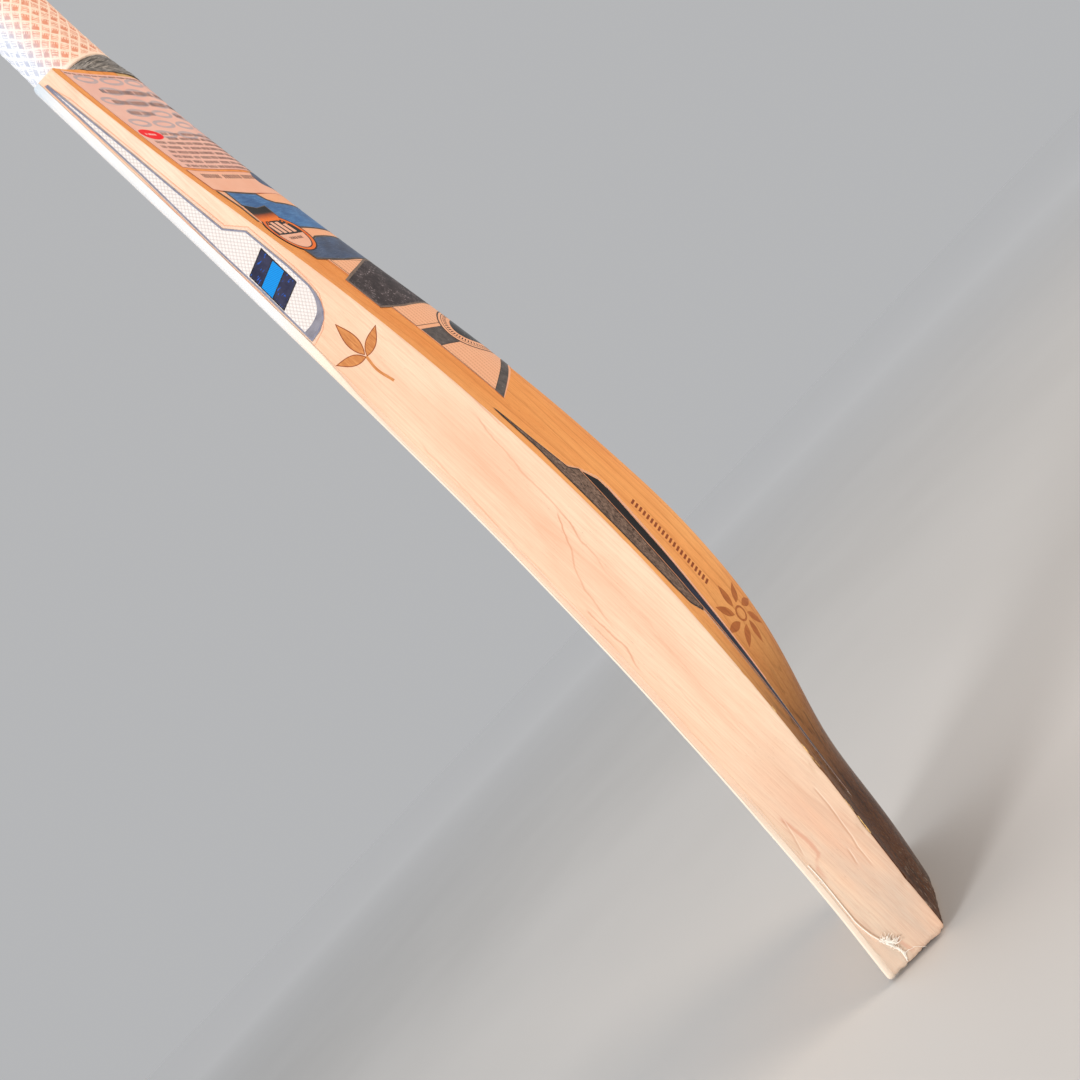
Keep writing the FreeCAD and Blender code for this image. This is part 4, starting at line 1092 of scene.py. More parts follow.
def black_to_navy():
    m = Mat("black_navy_print", 0.26)
    o = m.xyz()
    n = m.noise((0.5, 0.5, 0.08), 4.0, 0.6)
    c = m.mix(m.remap(n, 0.35, 0.7), lin(14, 11, 11), lin(34, 28, 26))
    nav = m.mix(m.remap(n, 0.35, 0.7), lin(12, 16, 32), lin(34, 44, 76))
    c = m.mix(m.remap(o[2], -548.0, -520.0, 1.0, 0.0), c, nav)
    m.color(c); m.normal(m.bump(n, 0.03, 0.5))
    return m.m


MATS["navyblack"] = black_to_navy()
MATS["clear"] = None


def clear_material():
    m = Mat("clear_film", 0.25)
    n = m.noise((0.2, 0.2, 0.2), 3.0, 0.6)
    m.color(m.mix(m.remap(n, 0.35, 0.65), lin(255, 246, 236), lin(250, 238, 226)))
    m.b.inputs["Alpha"].default_value = 0.14
    m.normal(m.bump(n, 0.03, 0.4))
    return m.m


MATS["clear"] = clear_material()
T1, T2 = FILM, FILM + 0.02

# --- label: a printed sheet with rows of plain strokes, a bare line of wood, then a plain band
def dip(x):
    """The label's rows sink a little towards the spine."""
    return np.interp(np.abs(x), [0, 5, 16.5, 26.6, 35.8, 45.7], [-5.2, -5.1, -4.9, -3.6, -1.7, 0.0])


def dipped(vf):
    v, f = vf
    v = np.array(v, float)
    v[:, 1] += dip(v[:, 0]) * np.clip((v[:, 1] - 300) / 250, 0.8, 1)
    return v, f


label_poly = [(45.6, 550.9), (46.6, 512.0), (46.8, 474.8), (-46.8, 474.8), (-46.6, 512.0), (-45.6, 550.9)]
lab = applied("label_sheet", dipped(tri_patch(label_poly, 2.2)), on_back, 0.0, FILM, MATS["label"])
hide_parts("back_label")
band_poly = [(46.8, 472.6), (46.4, 457.0), (41.1, 456.4), (24.5, 455.2), (-24.5, 455.2), (-41.1, 456.4), (-46.4, 457.0), (-46.8, 472.6)]
applied("label_band", dipped(tri_patch(band_poly, 2.2)), on_back, 0.0, FILM, MATS["band"])
applied("label_band_line", dipped(stripe2(band_poly, 0.35, 1.2, True)), on_back, T1, 0.02, MATS["pink_edge"])
ovals = []
for r_ in range(6):
    zc = 545.6 - r_ * 8.6
    for c_ in range(-5, 6):
        xc = c_ * 12.4 + (6.2 if r_ % 2 else 0.0)
        if abs(xc) > 41.5 or zc < 500:
            continue
        ovals.append(ring2(xc, zc, 5.6, 3.2, 1.7, 40))
applied("label_rings", dipped(join2(ovals)), on_back, T1, 0.02, MATS["oval"])


def strokes(rows_):
    """Rows of plain upright ticks in groups."""
    out = []
    for x0, x1, z, h, seed in rows_:
        rr = random.Random(seed)
        x = x0
        while x < x1 - 0.5:
            word = min(rr.uniform(3.2, 8.5) * h / 2.2, x1 - x)
            xe = x + word
            while x < xe - 0.2:
                w = rr.uniform(0.26, 0.46) * h / 2.0
                out.append((np.array([(x, z - .5 * h), (x + w, z - .5 * h), (x + w, z + .5 * h), (x, z + .5 * h)]), [(0, 1, 2, 3)]))
                x += w + rr.uniform(0.28, 0.44) * h / 2.0
            x = xe + 0.9 * h / 2.2 * rr.uniform(0.8, 1.4)
    return join2(out)


big = [(-37, 37, 536.6, 3.2, 2), (-38, 38, 527.9, 3.2, 3), (23.5, 37, 519.6, 2.9, 4), (-38, -12, 519.6, 2.9, 5), (5, 10.5, 519.6, 2.8, 6)]
small = [(-44, 45, 549.2, 1.1, 1)] + [(-30 if k < 2 else -42, 33.5 if k < 2 else 43, 502.9 - k * 3.75, 2.0, 10 + k) for k in range(8)]
applied("label_strokes", dipped(strokes(big)), on_back, T1, 0.025, MATS["ink"])
applied("label_small_strokes", dipped(strokes(small)), on_back, T1, 0.025, MATS["ink_soft"])
applied("label_band_strokes", dipped(strokes([(-42, -10, 468.6, 3.0, 41), (10, 42, 468.6, 3.0, 42)])), on_back, T1, 0.025, MATS["ink_soft"])
red_c = (39.6, 501.6)
th_ = np.linspace(0, 2 * math.pi, 48, endpoint=False)
oval_red = [(red_c[0] + 6.0 * math.cos(t), red_c[1] + 3.9 * math.sin(t)) for t in th_]
applied("label_mark", dipped(tri_patch(oval_red, 1.2)), on_back, T1, 0.03, MATS["red"])
applied("label_mark_bar", dipped(strokes([(36.8, 42.6, 501.7, 1.3, 77)])), on_back, T1 + 0.03, 0.02, MATS["white_ink"])
sm = smooth_closed([(0, 470.5), (6.5, 469.5), (10.2, 464.5), (9.6, 458.5), (0, 455.8), (-9.6, 458.5), (-10.2, 464.5), (-6.5, 469.5)], 5)
applied("spine_mark", tri_patch(sm, 1.6), on_back, T1, 0.03, MATS["slate"])

# --- upper graphic
# peach ground under everything, mirrored about the spine
ground = [(44.8, 455.4), (24.5, 451.0), (-24.5, 451.0), (-44.8, 455.4), (-43.4, 443.0), (-45.0, 431.0), (-40.3, 408.2), (-39.9, 401.8),
          (-34.2, 400.0), (-34.2, 386.8), (-40.2, 384.5), (-41.0, 364.1), (-26.3, 361.0), (-4.2, 360.0), (4.2, 360.0), (26.3, 361.0), (41.0, 364.1), (40.2, 384.5),
          (34.2, 386.8), (34.2, 400.0), (39.9, 401.8), (40.3, 408.2), (45.0, 431.0), (43.4, 443.0)]
g0 = applied("graphic_ground", tri_patch(ground, 2.2), on_back, 0.0, FILM, MATS["peach"])
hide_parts("back_graphic_upper")


def mirror(poly):
    return [(-x, z) for x, z in poly[::-1]]


blue_r = [(40.7, 455.2), (24.5, 451.3), (22.6, 446.4), (19.1, 443.6), (12.2, 442.2), (7.0, 441.4), (0.0, 441.0), (0.0, 421.0), (11.4, 421.8), (24.3, 424.2),
          (28.5, 428.8), (29.4, 433.5), (29.0, 441.8), (34.9, 440.9), (41.8, 444.1)]
blue_full = blue_r[:7] + [(-x, z) for x, z in blue_r[:6][::-1]] + [(-x, z) for x, z in blue_r[8:][::-1]][:0]
blue_full = [(40.7, 455.2), (24.5, 451.3), (22.6, 446.4), (19.1, 443.6), (12.2, 442.2), (7.0, 441.4), (0.0, 441.0), (-7.0, 441.4), (-12.2, 442.2), (-19.1, 443.6), (-22.6, 446.4),
             (-24.5, 451.3), (-40.7, 455.2), (-41.8, 444.1), (-34.9, 440.9), (-29.0, 441.8), (-29.4, 433.5), (-28.5, 428.8), (-24.3, 424.2), (-11.4, 421.8), (0.0, 421.2), (11.4, 421.8), (24.3, 424.2),
             (28.5, 428.8), (29.4, 433.5), (29.0, 441.8), (34.9, 440.9), (41.8, 444.1)]
applied("blue_chevron_upper", tri_patch(blue_full, 2.0), on_back, T1, 0.03, MATS["blue"])
applied("blue_chevron_upper_rim", stripe2(blue_full, 1.25, 1.2, True), on_back, T1 + 0.03, 0.02, MATS["bronze"])
applied("blue_chevron_upper_line", stripe2(blue_full, 0.45, 1.2, True), on_back, T1 + 0.05, 0.02, MATS["outline"])
slate_full = [(23.0, 416.4), (5.9, 415.1), (-5.9, 415.1), (-23.0, 416.4), (-40.1, 408.2), (-39.9, 401.8), (-24.4, 397.9), (-9.6, 396.9), (9.6, 396.9), (24.4, 397.9), (39.9, 401.8), (40.1, 408.2)]
applied("blue_chevron_lower", tri_patch(slate_full, 2.0), on_back, T1, 0.03, MATS["slate"])
applied("blue_chevron_lower_rim", stripe2(slate_full, 1.25, 1.2, True), on_back, T1 + 0.03, 0.02, MATS["bronze"])
applied("blue_chevron_lower_line", stripe2(slate_full, 0.45, 1.2, True), on_back, T1 + 0.05, 0.02, MATS["outline"])
# hatched triangles between the chevron and the dark block
for s_, nm in ((1, "right"), (-1, "left")):
    tri_ = [(s_ * 33.1, 399.1), (s_ * 12.9, 395.1), (s_ * 33.4, 387.6)]
    applied("hatched_corner_" + nm, tri_patch(tri_, 1.6), on_back, T1, 0.02, MATS["hatch"])
    applied("hatched_corner_line_" + nm, stripe2(tri_, 0.3, 1.2, True), on_back, T1 + 0.02, 0.02, MATS["outline"])
    fl = [(s_ * 41.8, 444.1), (s_ * 34.9, 440.9), (s_ * 29.0, 441.8), (s_ * 29.4, 433.5), (s_ * 31.0, 431.0), (s_ * 43.6, 431.0)]
    applied("badge_flag_" + nm, tri_patch(fl, 1.6), on_back, T1 + 0.07, 0.03, MATS["flag"])
    applied("graphic_border_" + nm, stripe2([(s_ * 45.6, 456.0), (s_ * 44.0, 443.0), (s_ * 45.4, 431.4)], 1.1, 1.5), on_back, T1, 0.03, MATS["grey_line"])
coal = [(9.9, 396.0), (-9.9, 396.0), (-40.2, 384.5), (-41.0, 364.1), (-26.3, 361.2), (-4.2, 360.1), (4.2, 360.1), (26.3, 361.2), (41.0, 364.1), (40.2, 384.5)]
applied("charcoal_block", tri_patch(coal, 2.0), on_back, T1, 0.03, MATS["charcoal"])
applied("charcoal_block_line", stripe2([(x * 0.985, z) for x, z in coal], 1.2, 1.2, True), on_back, T1 + 0.03, 0.02, MATS["grey_line"])

# --- badges
for s_, nm in ((1, "right"), (-1, "left")):
    cx, cz = s_ * 35.7, 421.4
    th_ = np.linspace(0, 2 * math.pi, 72, endpoint=False)

    def ell(rx, rz, n=72):
        return [(cx + rx * math.cos(t), cz + rz * math.sin(t)) for t in np.linspace(0, 2 * math.pi, n, endpoint=False)]
    b0 = applied("badge_disc_" + nm, tri_patch(ell(11.2, 14.0), 1.6), on_back, 0.0, FILM + 0.06, MATS["black"])
    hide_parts("badge_" + nm)
    t = FILM + 0.06
    applied("badge_ring_" + nm, ring2(cx, cz, 10.5, 13.3, 1.5, 96), on_back, t, 0.03, MATS["orange"])
    low = [(x, z) for x, z in ell(8.4, 11.2) if z < cz - 0.8]
    lo_l = min(low, key=lambda q: q[0]); lo_r = max(low, key=lambda q: q[0])
    low = sorted(low, key=lambda q: math.atan2(q[1] - cz, q[0] - cx))
    applied("badge_lower_" + nm, tri_patch(low, 1.4), on_back, t, 0.03, MATS["band"])
    slats = []
    for (bx, z0, z1) in ((-4.9, 0.2, 6.6), (-1.5, 0.2, 8.6), (1.9, 0.2, 8.6), (5.3, 0.2, 6.6)):
        slats.append(stripe2([(cx + bx, cz + z0), (cx + bx + 0.8, cz + z1)], 2.3, 1.2))
    applied("badge_slats_" + nm, join2(slats), on_back, t, 0.04, MATS["band"])
    applied("badge_marks_" + nm, strokes([(cx - 4.6, cx + 4.6, cz - 3.9, 1.9, 31)]), on_back, t + 0.03, 0.02, MATS["ink"])
    dots = []
    for q in range(9):
        a = math.radians(40 + q * 12.5)
        dots.append(ring2(cx + 8.1 * math.cos(a), cz + 10.6 * math.sin(a), 0.5, 0.6, 0.45, 10))
    applied("badge_dots_" + nm, join2(dots), on_back, t, 0.03, MATS["orange"])

# --- lower graphic
lower = [(34.2, 362.9), (34.2, 294.4), (0.0, 310.6), (-34.2, 294.4), (-34.2, 362.9), (-4.0, 359.6), (4.0, 359.6)]
lg = applied("lower_panel", tri_patch(lower, 2.2), on_back, 0.0, FILM, MATS["peach"])
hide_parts("back_graphic_lower")
h1 = [(33.8, 362.2), (33.8, 347.6), (19.5, 345.4), (0, 344.4), (-19.5, 345.4), (-33.8, 347.6), (-33.8, 362.2), (-4, 359.4), (4, 359.4)]
applied("hatched_panel_upper", tri_patch(h1, 2.0), on_back, T1, 0.02, MATS["hatch"])
applied("hatched_panel_upper_line", stripe2(h1, 0.32, 1.2, True), on_back, T1 + 0.02, 0.02, MATS["outline"])
h2 = [(33.8, 332.9), (33.8, 300.2), (6.5, 313.6), (0, 315.4), (-6.5, 313.6), (-33.8, 300.2), (-33.8, 332.9), (0.0, 329.0)]
applied("hatched_panel_lower", tri_patch(h2, 2.0), on_back, T1, 0.02, MATS["hatch"])
applied("hatched_panel_lower_line", stripe2(h2, 0.32, 1.2, True), on_back, T1 + 0.02, 0.02, MATS["outline"])
for s_, nm in ((1, "right"), (-1, "left")):
    gp = [(s_ * 33.8, 345.1), (s_ * 17.0, 342.7), (s_ * 17.0, 330.3), (s_ * 33.7, 333.0)]
    applied("grey_patch_" + nm, tri_patch(gp, 1.6), on_back, T1, 0.03, MATS["grey_print"])
st_ = [(34.2, 299.9), (6.8, 313.2), (0, 315.6), (-6.8, 313.2), (-34.2, 299.9), (-34.3, 294.8), (-6.2, 309.2), (0, 311.4), (6.2, 309.2), (34.3, 294.8)]
applied("end_stripe", tri_patch(st_, 1.6), on_back, T1 + 0.02, 0.03, MATS["grey_print"])
# disc of plain rings on the spine
dc = (0.0, 336.5)
disc = [(dc[0] + 21.6 * math.cos(t), dc[1] + 17.0 * math.sin(t)) for t in np.linspace(0, 2 * math.pi, 90, endpoint=False)]
applied("spine_disc", tri_patch(disc, 1.8), on_back, T1 + 0.02, 0.04, MATS["peach"])
tt = T1 + 0.06
applied("spine_disc_rings", join2([ring2(*dc, 21.6, 17.0, 0.75, 96), ring2(*dc, 19.4, 15.0, 0.32, 96)]), on_back, tt, 0.02, MATS["outline"])
ticks = []
for q in range(56):
    a = 2 * math.pi * q / 56
    ca, sa = math.cos(a), math.sin(a)
    p0 = (dc[0] + 16.3 * ca, dc[1] + 12.0 * sa); p1 = (dc[0] + 18.3 * ca, dc[1] + 13.9 * sa)
    ticks.append(stripe2([p0, p1], 0.62, 1.4))
applied("spine_disc_ticks", join2(ticks), on_back, tt, 0.02, MATS["ink"])
hub = [(dc[0] + 14.8 * math.cos(t), dc[1] + 9.8 * math.sin(t)) for t in np.linspace(0, 2 * math.pi, 64, endpoint=False)]
applied("spine_disc_hub", tri_patch(hub, 1.5), on_back, tt, 0.03, MATS["hub"])

# --- edge stickers
panel = [(6.3, 546.5), (8.7, 526.0), (12.4, 494.0), (15.8, 460.0), (18.2, 438.0), (25.2, 429.2), (27.9, 404.0), (28.6, 391.0), (28.2, 386.0), (27.0, 381.3), (25.3, 377.9), (22.7, 375.0), (17.7, 372.6),
         (12.4, 371.8), (11.6, 405.0), (10.4, 430.0), (9.1, 483.0), (6.9, 526.0), (5.7, 546.5)]
inner_arc = smooth_open([(28.3, 390.3), (26.4, 384.0), (23.1, 379.4), (17.8, 377.2), (12.5, 376.8)], 6)
cres = inner_arc[::-1] + [(28.6, 391.0)] + smooth_open([(28.6, 391.0), (27.2, 381.2), (22.7, 375.0), (17.7, 372.6), (12.4, 371.8)], 6)[1:]
cres = [q for i, q in enumerate(cres) if i == 0 or np.hypot(q[0] - cres[i - 1][0], q[1] - cres[i - 1][1]) > 0.05]
clear_out = [(6.0, 547.4), (9.6, 534.0), (14.0, 494.0), (17.5, 462.0), (20.2, 438.4), (27.3, 430.0), (29.8, 402.0), (30.0, 394.0), (29.4, 384.6), (25.4, 377.0), (19.3, 371.8), (12.2, 369.6), (10.2, 371.0),
             (10.4, 405.0), (9.2, 430.0), (7.9, 483.0), (6.0, 526.0), (5.0, 547.4)]


def emboss(v2):
    y, z = v2[:, 0], v2[:, 1]
    a, b = (y + 0.72 * z) / 1.9, (y - 0.72 * z) / 1.9
    return 0.045 * (np.abs(np.sin(np.pi * a)) * np.abs(np.sin(np.pi * b)) - 0.4)


def edge_white():
    m = Mat("embossed_white", 0.34)
    o = m.xyz()
    y, z = o[1], o[2]
    a = m.math("ABSOLUTE", m.math("SINE", m.math("MULTIPLY", m.math("ADD", y, m.math("MULTIPLY", z, 0.72)), math.pi / 1.9)))
    b = m.math("ABSOLUTE", m.math("SINE", m.math("MULTIPLY", m.math("SUBTRACT", y, m.math("MULTIPLY", z, 0.72)), math.pi / 1.9)))
    h = m.math("MULTIPLY", a, b)
    # the hollows of the embossing are coloured darker: painted shade in the hollows
    c = m.mix(m.remap(h, 0.03, 0.55), lin(211, 204, 203), lin(240, 236, 235))
    n = m.noise((0.1, 0.1, 0.1), 3.0, 0.6)
    c = m.mix(m.remap(n, 0.4, 0.7, 0.0, 0.14), c, lin(214, 200, 190))
    m.color(c); m.normal(m.bump(h, 0.12, 0.8))
    return m.m


MATS["edge_white"] = edge_white()
MATS["crescent"] = brushed_blue("grey_crescent", lin(128, 126, 138), lin(152, 150, 162), lin(170, 170, 184))
MATS["border"] = plastic("blue_grey_border", lin(126, 128, 148), lin(146, 148, 166), (0.3, 0.3, 0.3), 0.4, 0.01)
MATS["navy"] = plastic("navy_ink", lin(40, 42, 66), lin(60, 62, 88), (0.15, 0.15, 0.15), 0.35, 0.01, speck=lin(40, 92, 190), speck_scale=(0.35, 0.35, 0.9), speck_cut=0.62)


def cyan_material():
    m = Mat("cyan_ink", 0.3)
    o = m.xyz()
    w = m.math("SINE", m.math("MULTIPLY", m.math("ADD", o[1], m.math("MULTIPLY", o[2], 0.35)), 2 * math.pi / 0.8))
    c = m.mix(m.remap(w, -0.6, 0.8), lin(18, 128, 214), lin(28, 156, 238))
    m.color(c); m.normal(m.bump(w, 0.02, 0.4))
    return m.m


MATS["cyan"] = cyan_material()
for s_, nm in ((1, "right"), (-1, "left")):
    sf = on_edge(s_)
    cl = applied("edge_clear_" + nm, tri_patch(smooth_closed(clear_out, 2) if False else clear_out, 2.0), sf, 0.03, 0.09, MATS["clear"])
    pn = applied("edge_panel_" + nm, tri_patch(panel, 0.9 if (s_ > 0) else 1.6), sf, 0.12, FILM - 0.14, MATS["edge_white"], relief=emboss)
    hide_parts("edge_sticker_" + nm)
    applied("edge_clear_line_" + nm, stripe2(clear_out, 0.34, 1.0, True), sf, 0.0, 0.16, MATS["pink_line"])
    applied("edge_border_" + nm, stripe2(panel, 0.78, 0.9, True), sf, FILM - 0.02, 0.05, MATS["border"])
    applied("edge_crescent_" + nm, tri_patch(cres, 1.0), sf, FILM - 0.02, 0.04, MATS["crescent"])
    # one plain dark block with a blue field in its middle
    bars_ = [([(24.9, 418.4), (12.4, 413.4), (12.8, 390.8), (25.7, 395.8)], "navy", -0.02),
             ([(25.0, 410.9), (12.5, 405.9), (12.65, 398.3), (25.4, 403.3)], "cyan", 0.02)]
    for k, (pl, mt, up_) in enumerate(bars_):
        applied("edge_bar_%d_%s" % (k + 1, nm), tri_patch(pl, 1.2), sf, FILM + up_, 0.07, MATS[mt])
        applied("edge_bar_line_%d_%s" % (k + 1, nm), stripe2(pl, 0.45, 1.0, True), sf, FILM + up_ + 0.06, 0.02, MATS["outline"])

# --- lower stickers in the hollow beside each edge
brown = [(47.3, 292.0), (47.7, 286.0), (47.8, 265.0), (49.4, 250.0), (50.0, 225.0), (50.0, 200.0), (49.0, 180.0), (47.4, 168.6), (43.3, 162.4), (42.3, 164.0), (42.1, 178.0), (41.1, 200.0), (39.6, 221.0), (37.1, 246.6), (41.9, 250.4), (44.9, 271.0), (46.6, 286.0)]
blackp = [(36.3, 244.6), (32.8, 237.4), (32.8, 231.0), (34.9, 211.0), (36.4, 188.0), (38.0, 167.0), (38.9, 145.0), (39.6, 120.0), (39.4, 96.0), (38.8, 75.0), (38.6, 60.0), (39.0, 60.0), (41.2, 86.0), (42.0, 117.0), (41.8, 145.0),
          (41.4, 170.0), (40.2, 200.0), (38.8, 221.0)]
copper = [(36.9, 245.8), (39.2, 221.0), (40.7, 200.0), (41.8, 172.0), (42.1, 145.0), (42.2, 117.0), (41.4, 86.0), (39.2, 60.0)]
base_low = [(47.6, 293.5), (48.3, 265.0), (49.8, 250.6), (50.4, 225.0), (50.4, 200.0), (49.4, 179.6), (47.8, 167.8), (43.6, 161.8), (43.0, 120.0), (42.2, 86.0), (39.6, 56.0), (37.9, 60.0), (38.2, 75.0), (38.6, 96.0), (38.4, 120.0), (37.4, 145.0),
            (36.2, 167.0), (34.6, 188.0), (32.6, 211.0), (30.8, 231.0), (31.2, 239.0), (36.0, 247.4), (41.0, 252.0), (43.9, 271.0), (46.4, 289.0)]
for s_, nm in ((1, "right"), (-1, "left")):
    sx = lambda pl: [(s_ * x, z) for x, z in pl]
    bs = applied("lower_film_" + nm, tri_patch(sx(base_low), 1.6), on_back, 0.05, 0.09, MATS["clear"])
    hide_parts("lower_sticker_" + nm)
    applied("lower_brown_" + nm, tri_patch(sx(brown), 1.4), on_back, 0.14, FILM - 0.14, MATS["brown"])
    applied("lower_brown_line_" + nm, stripe2(sx(brown), 0.7, 1.2, True), on_back, FILM, 0.02, MATS["black"])
    applied("lower_black_" + nm, tri_patch(sx(blackp), 1.4), on_back, 0.14, FILM - 0.14, MATS["navyblack"])
    applied("lower_copper_" + nm, stripe2(sx(copper), 0.55, 1.4), on_back, FILM, 0.05, MATS["copper"])
    applied("lower_highlight_" + nm, stripe2(sx([(31.8, 232.0), (33.8, 211.0), (35.5, 188.0), (37.0, 167.0), (38.0, 145.0), (38.6, 120.0)]), 0.8, 1.4), on_back, 0.12, 0.06, MATS["pink_line"])

# ---------------------------------------------------------------- burnt motifs
def burnt_material(name="burnt_mark", a=lin(220, 152, 92), b=lin(178, 106, 56)):
    m = Mat(name, 0.6)
    n = m.noise((0.9, 0.9, 0.09), 6.0, 0.7)
    c = m.mix(m.remap(n, 0.35, 0.68), a, b)
    m.color(c); m.normal(m.bump(n, 0.12, 0.8))
    return m.m


MATS["burnt"] = burnt_material()
MATS["burnt_rim"] = burnt_material("burnt_rim", lin(158, 84, 44), lin(132, 66, 34))
MATS["burnt_mid"] = burnt_material("burnt_mid", lin(190, 116, 60), lin(158, 88, 44))


def leaf(cx, cz, ang, L, w):
    """Leaf outline in (across, up), pointing along ang."""
    out = []
    n = 14
    for k in range(n + 1):
        t = k / n
        out.append((t * L, w * math.sin(math.pi * t ** 0.85) * (1 - 0.15 * t)))
    for k in range(n - 1, 0, -1):
        t = k / n
        out.append((t * L, -w * math.sin(math.pi * t ** 0.85) * (1 - 0.15 * t)))
    ca, sa = math.cos(ang), math.sin(ang)
    return [(cx + x * ca - y * sa, cz + x * sa + y * ca) for x, y in out]


def sprig(surf, name, cy, cz, s_=1.0, tilt=0.0):
    """A plain three-leaf sprig."""
    parts = [leaf(cy, cz, math.radians(90) + tilt, 17.0 * s_, 2.6 * s_), leaf(cy - 0.4 * s_, cz - 1.2 * s_, math.radians(150) + tilt, 12.5 * s_, 2.3 * s_),
             leaf(cy + 0.4 * s_, cz - 1.2 * s_, math.radians(30) + tilt, 12.5 * s_, 2.3 * s_)]
    stem = stripe2(smooth_open([(cy, cz - 1), (cy - 0.6 * s_, cz - 8 * s_), (cy + 1.2 * s_, cz - 16 * s_)], 8), 1.1 * s_, 1.0)
    applied(name + "_leaves", join2([tri_patch(q, 0.9) for q in parts] + [stem]), surf, -0.05, 0.10, MATS["burnt"])
    applied(name + "_rims", join2([stripe2(q, 0.38, 0.8, True) for q in parts]), surf, 0.045, 0.02, MATS["burnt_rim"])


sprig(on_edge(1), "edge_sprig_right", 25.0, 350.0, 1.12)
sprig(on_edge(-1), "edge_sprig_left", 25.0, 350.0, 1.12)
# a row of small burnt dashes and a ring of leaves on the back
dash = []
z0 = 219.0
for k in range(21):
    x0 = 26.6 + 0.010 * (219.0 - z0)
    dash.append(stripe2([(x0 - 1.6, z0 + 0.35), (x0 + 1.6, z0 - 0.35)], 1.25, 1.0))
    z0 -= 2.5
applied("back_dashes", join2(dash), on_back, -0.04, 0.08, MATS["burnt_rim"])
lv = []
for k in range(8):
    a = math.radians(45 * k + 22.5)
    lv.append(tri_patch(leaf(22.0 + 5.4 * math.cos(a), 147.0 + 5.4 * math.sin(a), a + 0.5, 12.0, 2.3), 0.9))
lv.append(ring2(22.0, 147.0, 4.0, 4.0, 1.1, 30))
applied("back_wreath", join2(lv), on_back, -0.04, 0.08, MATS["burnt_mid"])

# ---------------------------------------------------------------- frayed edge of the sheet at the toe
def tube(pts, r, n=6, taper=1.0):
    P_ = np.array(pts, float)
    out = []
    d = np.gradient(P_, axis=0)
    d /= np.maximum(np.linalg.norm(d, axis=1, keepdims=True), 1e-9)
    up = np.array([0.31, 0.72, 0.62])
    for i in range(len(P_)):
        u_ = np.cross(d[i], up); u_ /= max(np.linalg.norm(u_), 1e-9)
        v_ = np.cross(d[i], u_)
        rad = r * (1 - (1 - taper) * i / (len(P_) - 1))
        for k in range(n):
            a = 2 * math.pi * k / n
            out.append(P_[i] + rad * (math.cos(a) * u_ + math.sin(a) * v_))
    F = []
    for i in range(len(P_) - 1):
        for k in range(n):
            F.append((i * n + k, i * n + (k + 1) % n, (i + 1) * n + (k + 1) % n, (i + 1) * n + k))
    F.append(tuple(range(n - 1, -1, -1))); F.append(tuple((len(P_) - 1) * n + k for k in range(n)))
    return np.array(out), F


def fray_material():
    m = Mat("torn_sheet_fibre", 0.45)
    n = m.noise((1.5, 1.5, 1.5), 3.0, 0.6)
    m.color(m.mix(m.remap(n, 0.35, 0.65), lin(255, 253, 248), lin(250, 240, 226)))
    m.normal(m.bump(n, 0.05, 0.5))
    return m.m


MATS["fray"] = fray_material()
line = smooth_open([(54.3, 7.9, 52.0), (54.3, 7.7, 44.0), (54.35, 6.9, 35.4), (54.45, 6.0, 26.0), (54.6, 5.6, 19.8), (54.7, 6.4, 12.9), (54.7, 7.4, 9.2), (54.6, 8.2, 5.9), (54.5, 10.0, 3.4), (54.4, 11.0, 0.6), (54.2, 10.8, -3.2), (53.8, 10.0, -6.4)], 8)
parts = [tube(line, 0.27, 8)]
rf_ = random.Random(5)
for k in range(66):
    t = rf_.uniform(0.0, 1.0)
    base = np.array([54.5, 7.4 + t * 4.2 + rf_.uniform(-.4, .4), 7.6 - t * 5.0 + rf_.uniform(-.5, .5)])
    L = rf_.uniform(1.6, 4.2)
    dirn = np.array([rf_.uniform(0.05, 0.32), rf_.uniform(0.25, 1.0), rf_.uniform(-0.35, 0.85)]); dirn /= np.linalg.norm(dirn)
    curl = np.array([rf_.uniform(-.3, .1), rf_.uniform(-.5, .5), rf_.uniform(-.6, .6)])
    pts = [base + dirn * L * s + curl * L * s * s * 0.7 for s in np.linspace(0, 1, 7)]
    parts.append(tube(pts, rf_.uniform(0.10, 0.20), 5, 0.45))
rf2 = random.Random(11)
strip = smooth_open([(54.5, 8.8, 5.2), (54.55, 10.1, 2.6), (54.45, 10.9, 0.2), (54.3, 11.2, -2.4), (53.95, 10.6, -5.4)], 8)
parts.append(tube(strip, 0.52, 8, 0.85))
for k in range(46):
    base = np.array(strip[int(rf2.uniform(0, len(strip) - 1))], float) + np.array([0.1, rf2.uniform(-.3, .3), rf2.uniform(-.3, .3)])
    L = rf2.uniform(0.7, 1.9)
    dirn = np.array([rf2.uniform(0.10, 0.55), rf2.uniform(-0.9, 0.9), rf2.uniform(-0.15, 0.9)]); dirn /= np.linalg.norm(dirn)
    curl = np.array([rf2.uniform(-.2, .1), rf2.uniform(-.4, .4), rf2.uniform(-.2, .4)])
    pts = [base + dirn * L * s + curl * L * s * s * 0.6 for s in np.linspace(0, 1, 6)]
    parts.append(tube(pts, rf2.uniform(0.09, 0.17), 5, 0.5))
for a, b in (((54.3, 12.4, -3.0), (54.25, 15.9, -3.4)), ((54.25, 15.9, -3.4), (54.1, 20.4, -6.8)), ((54.3, 6.2, 43.8), (54.5, 7.6, 42.0)), ((54.4, 11.0, -1.0), (54.2, 12.6, -3.4))):
    a, b = np.array(a), np.array(b)
    parts.append(tube([a + (b - a) * s + np.array([0, 0.25 * math.sin(s * 6), 0.2 * math.sin(s * 5)]) for s in np.linspace(0, 1, 7)], 0.13, 5, 0.7))
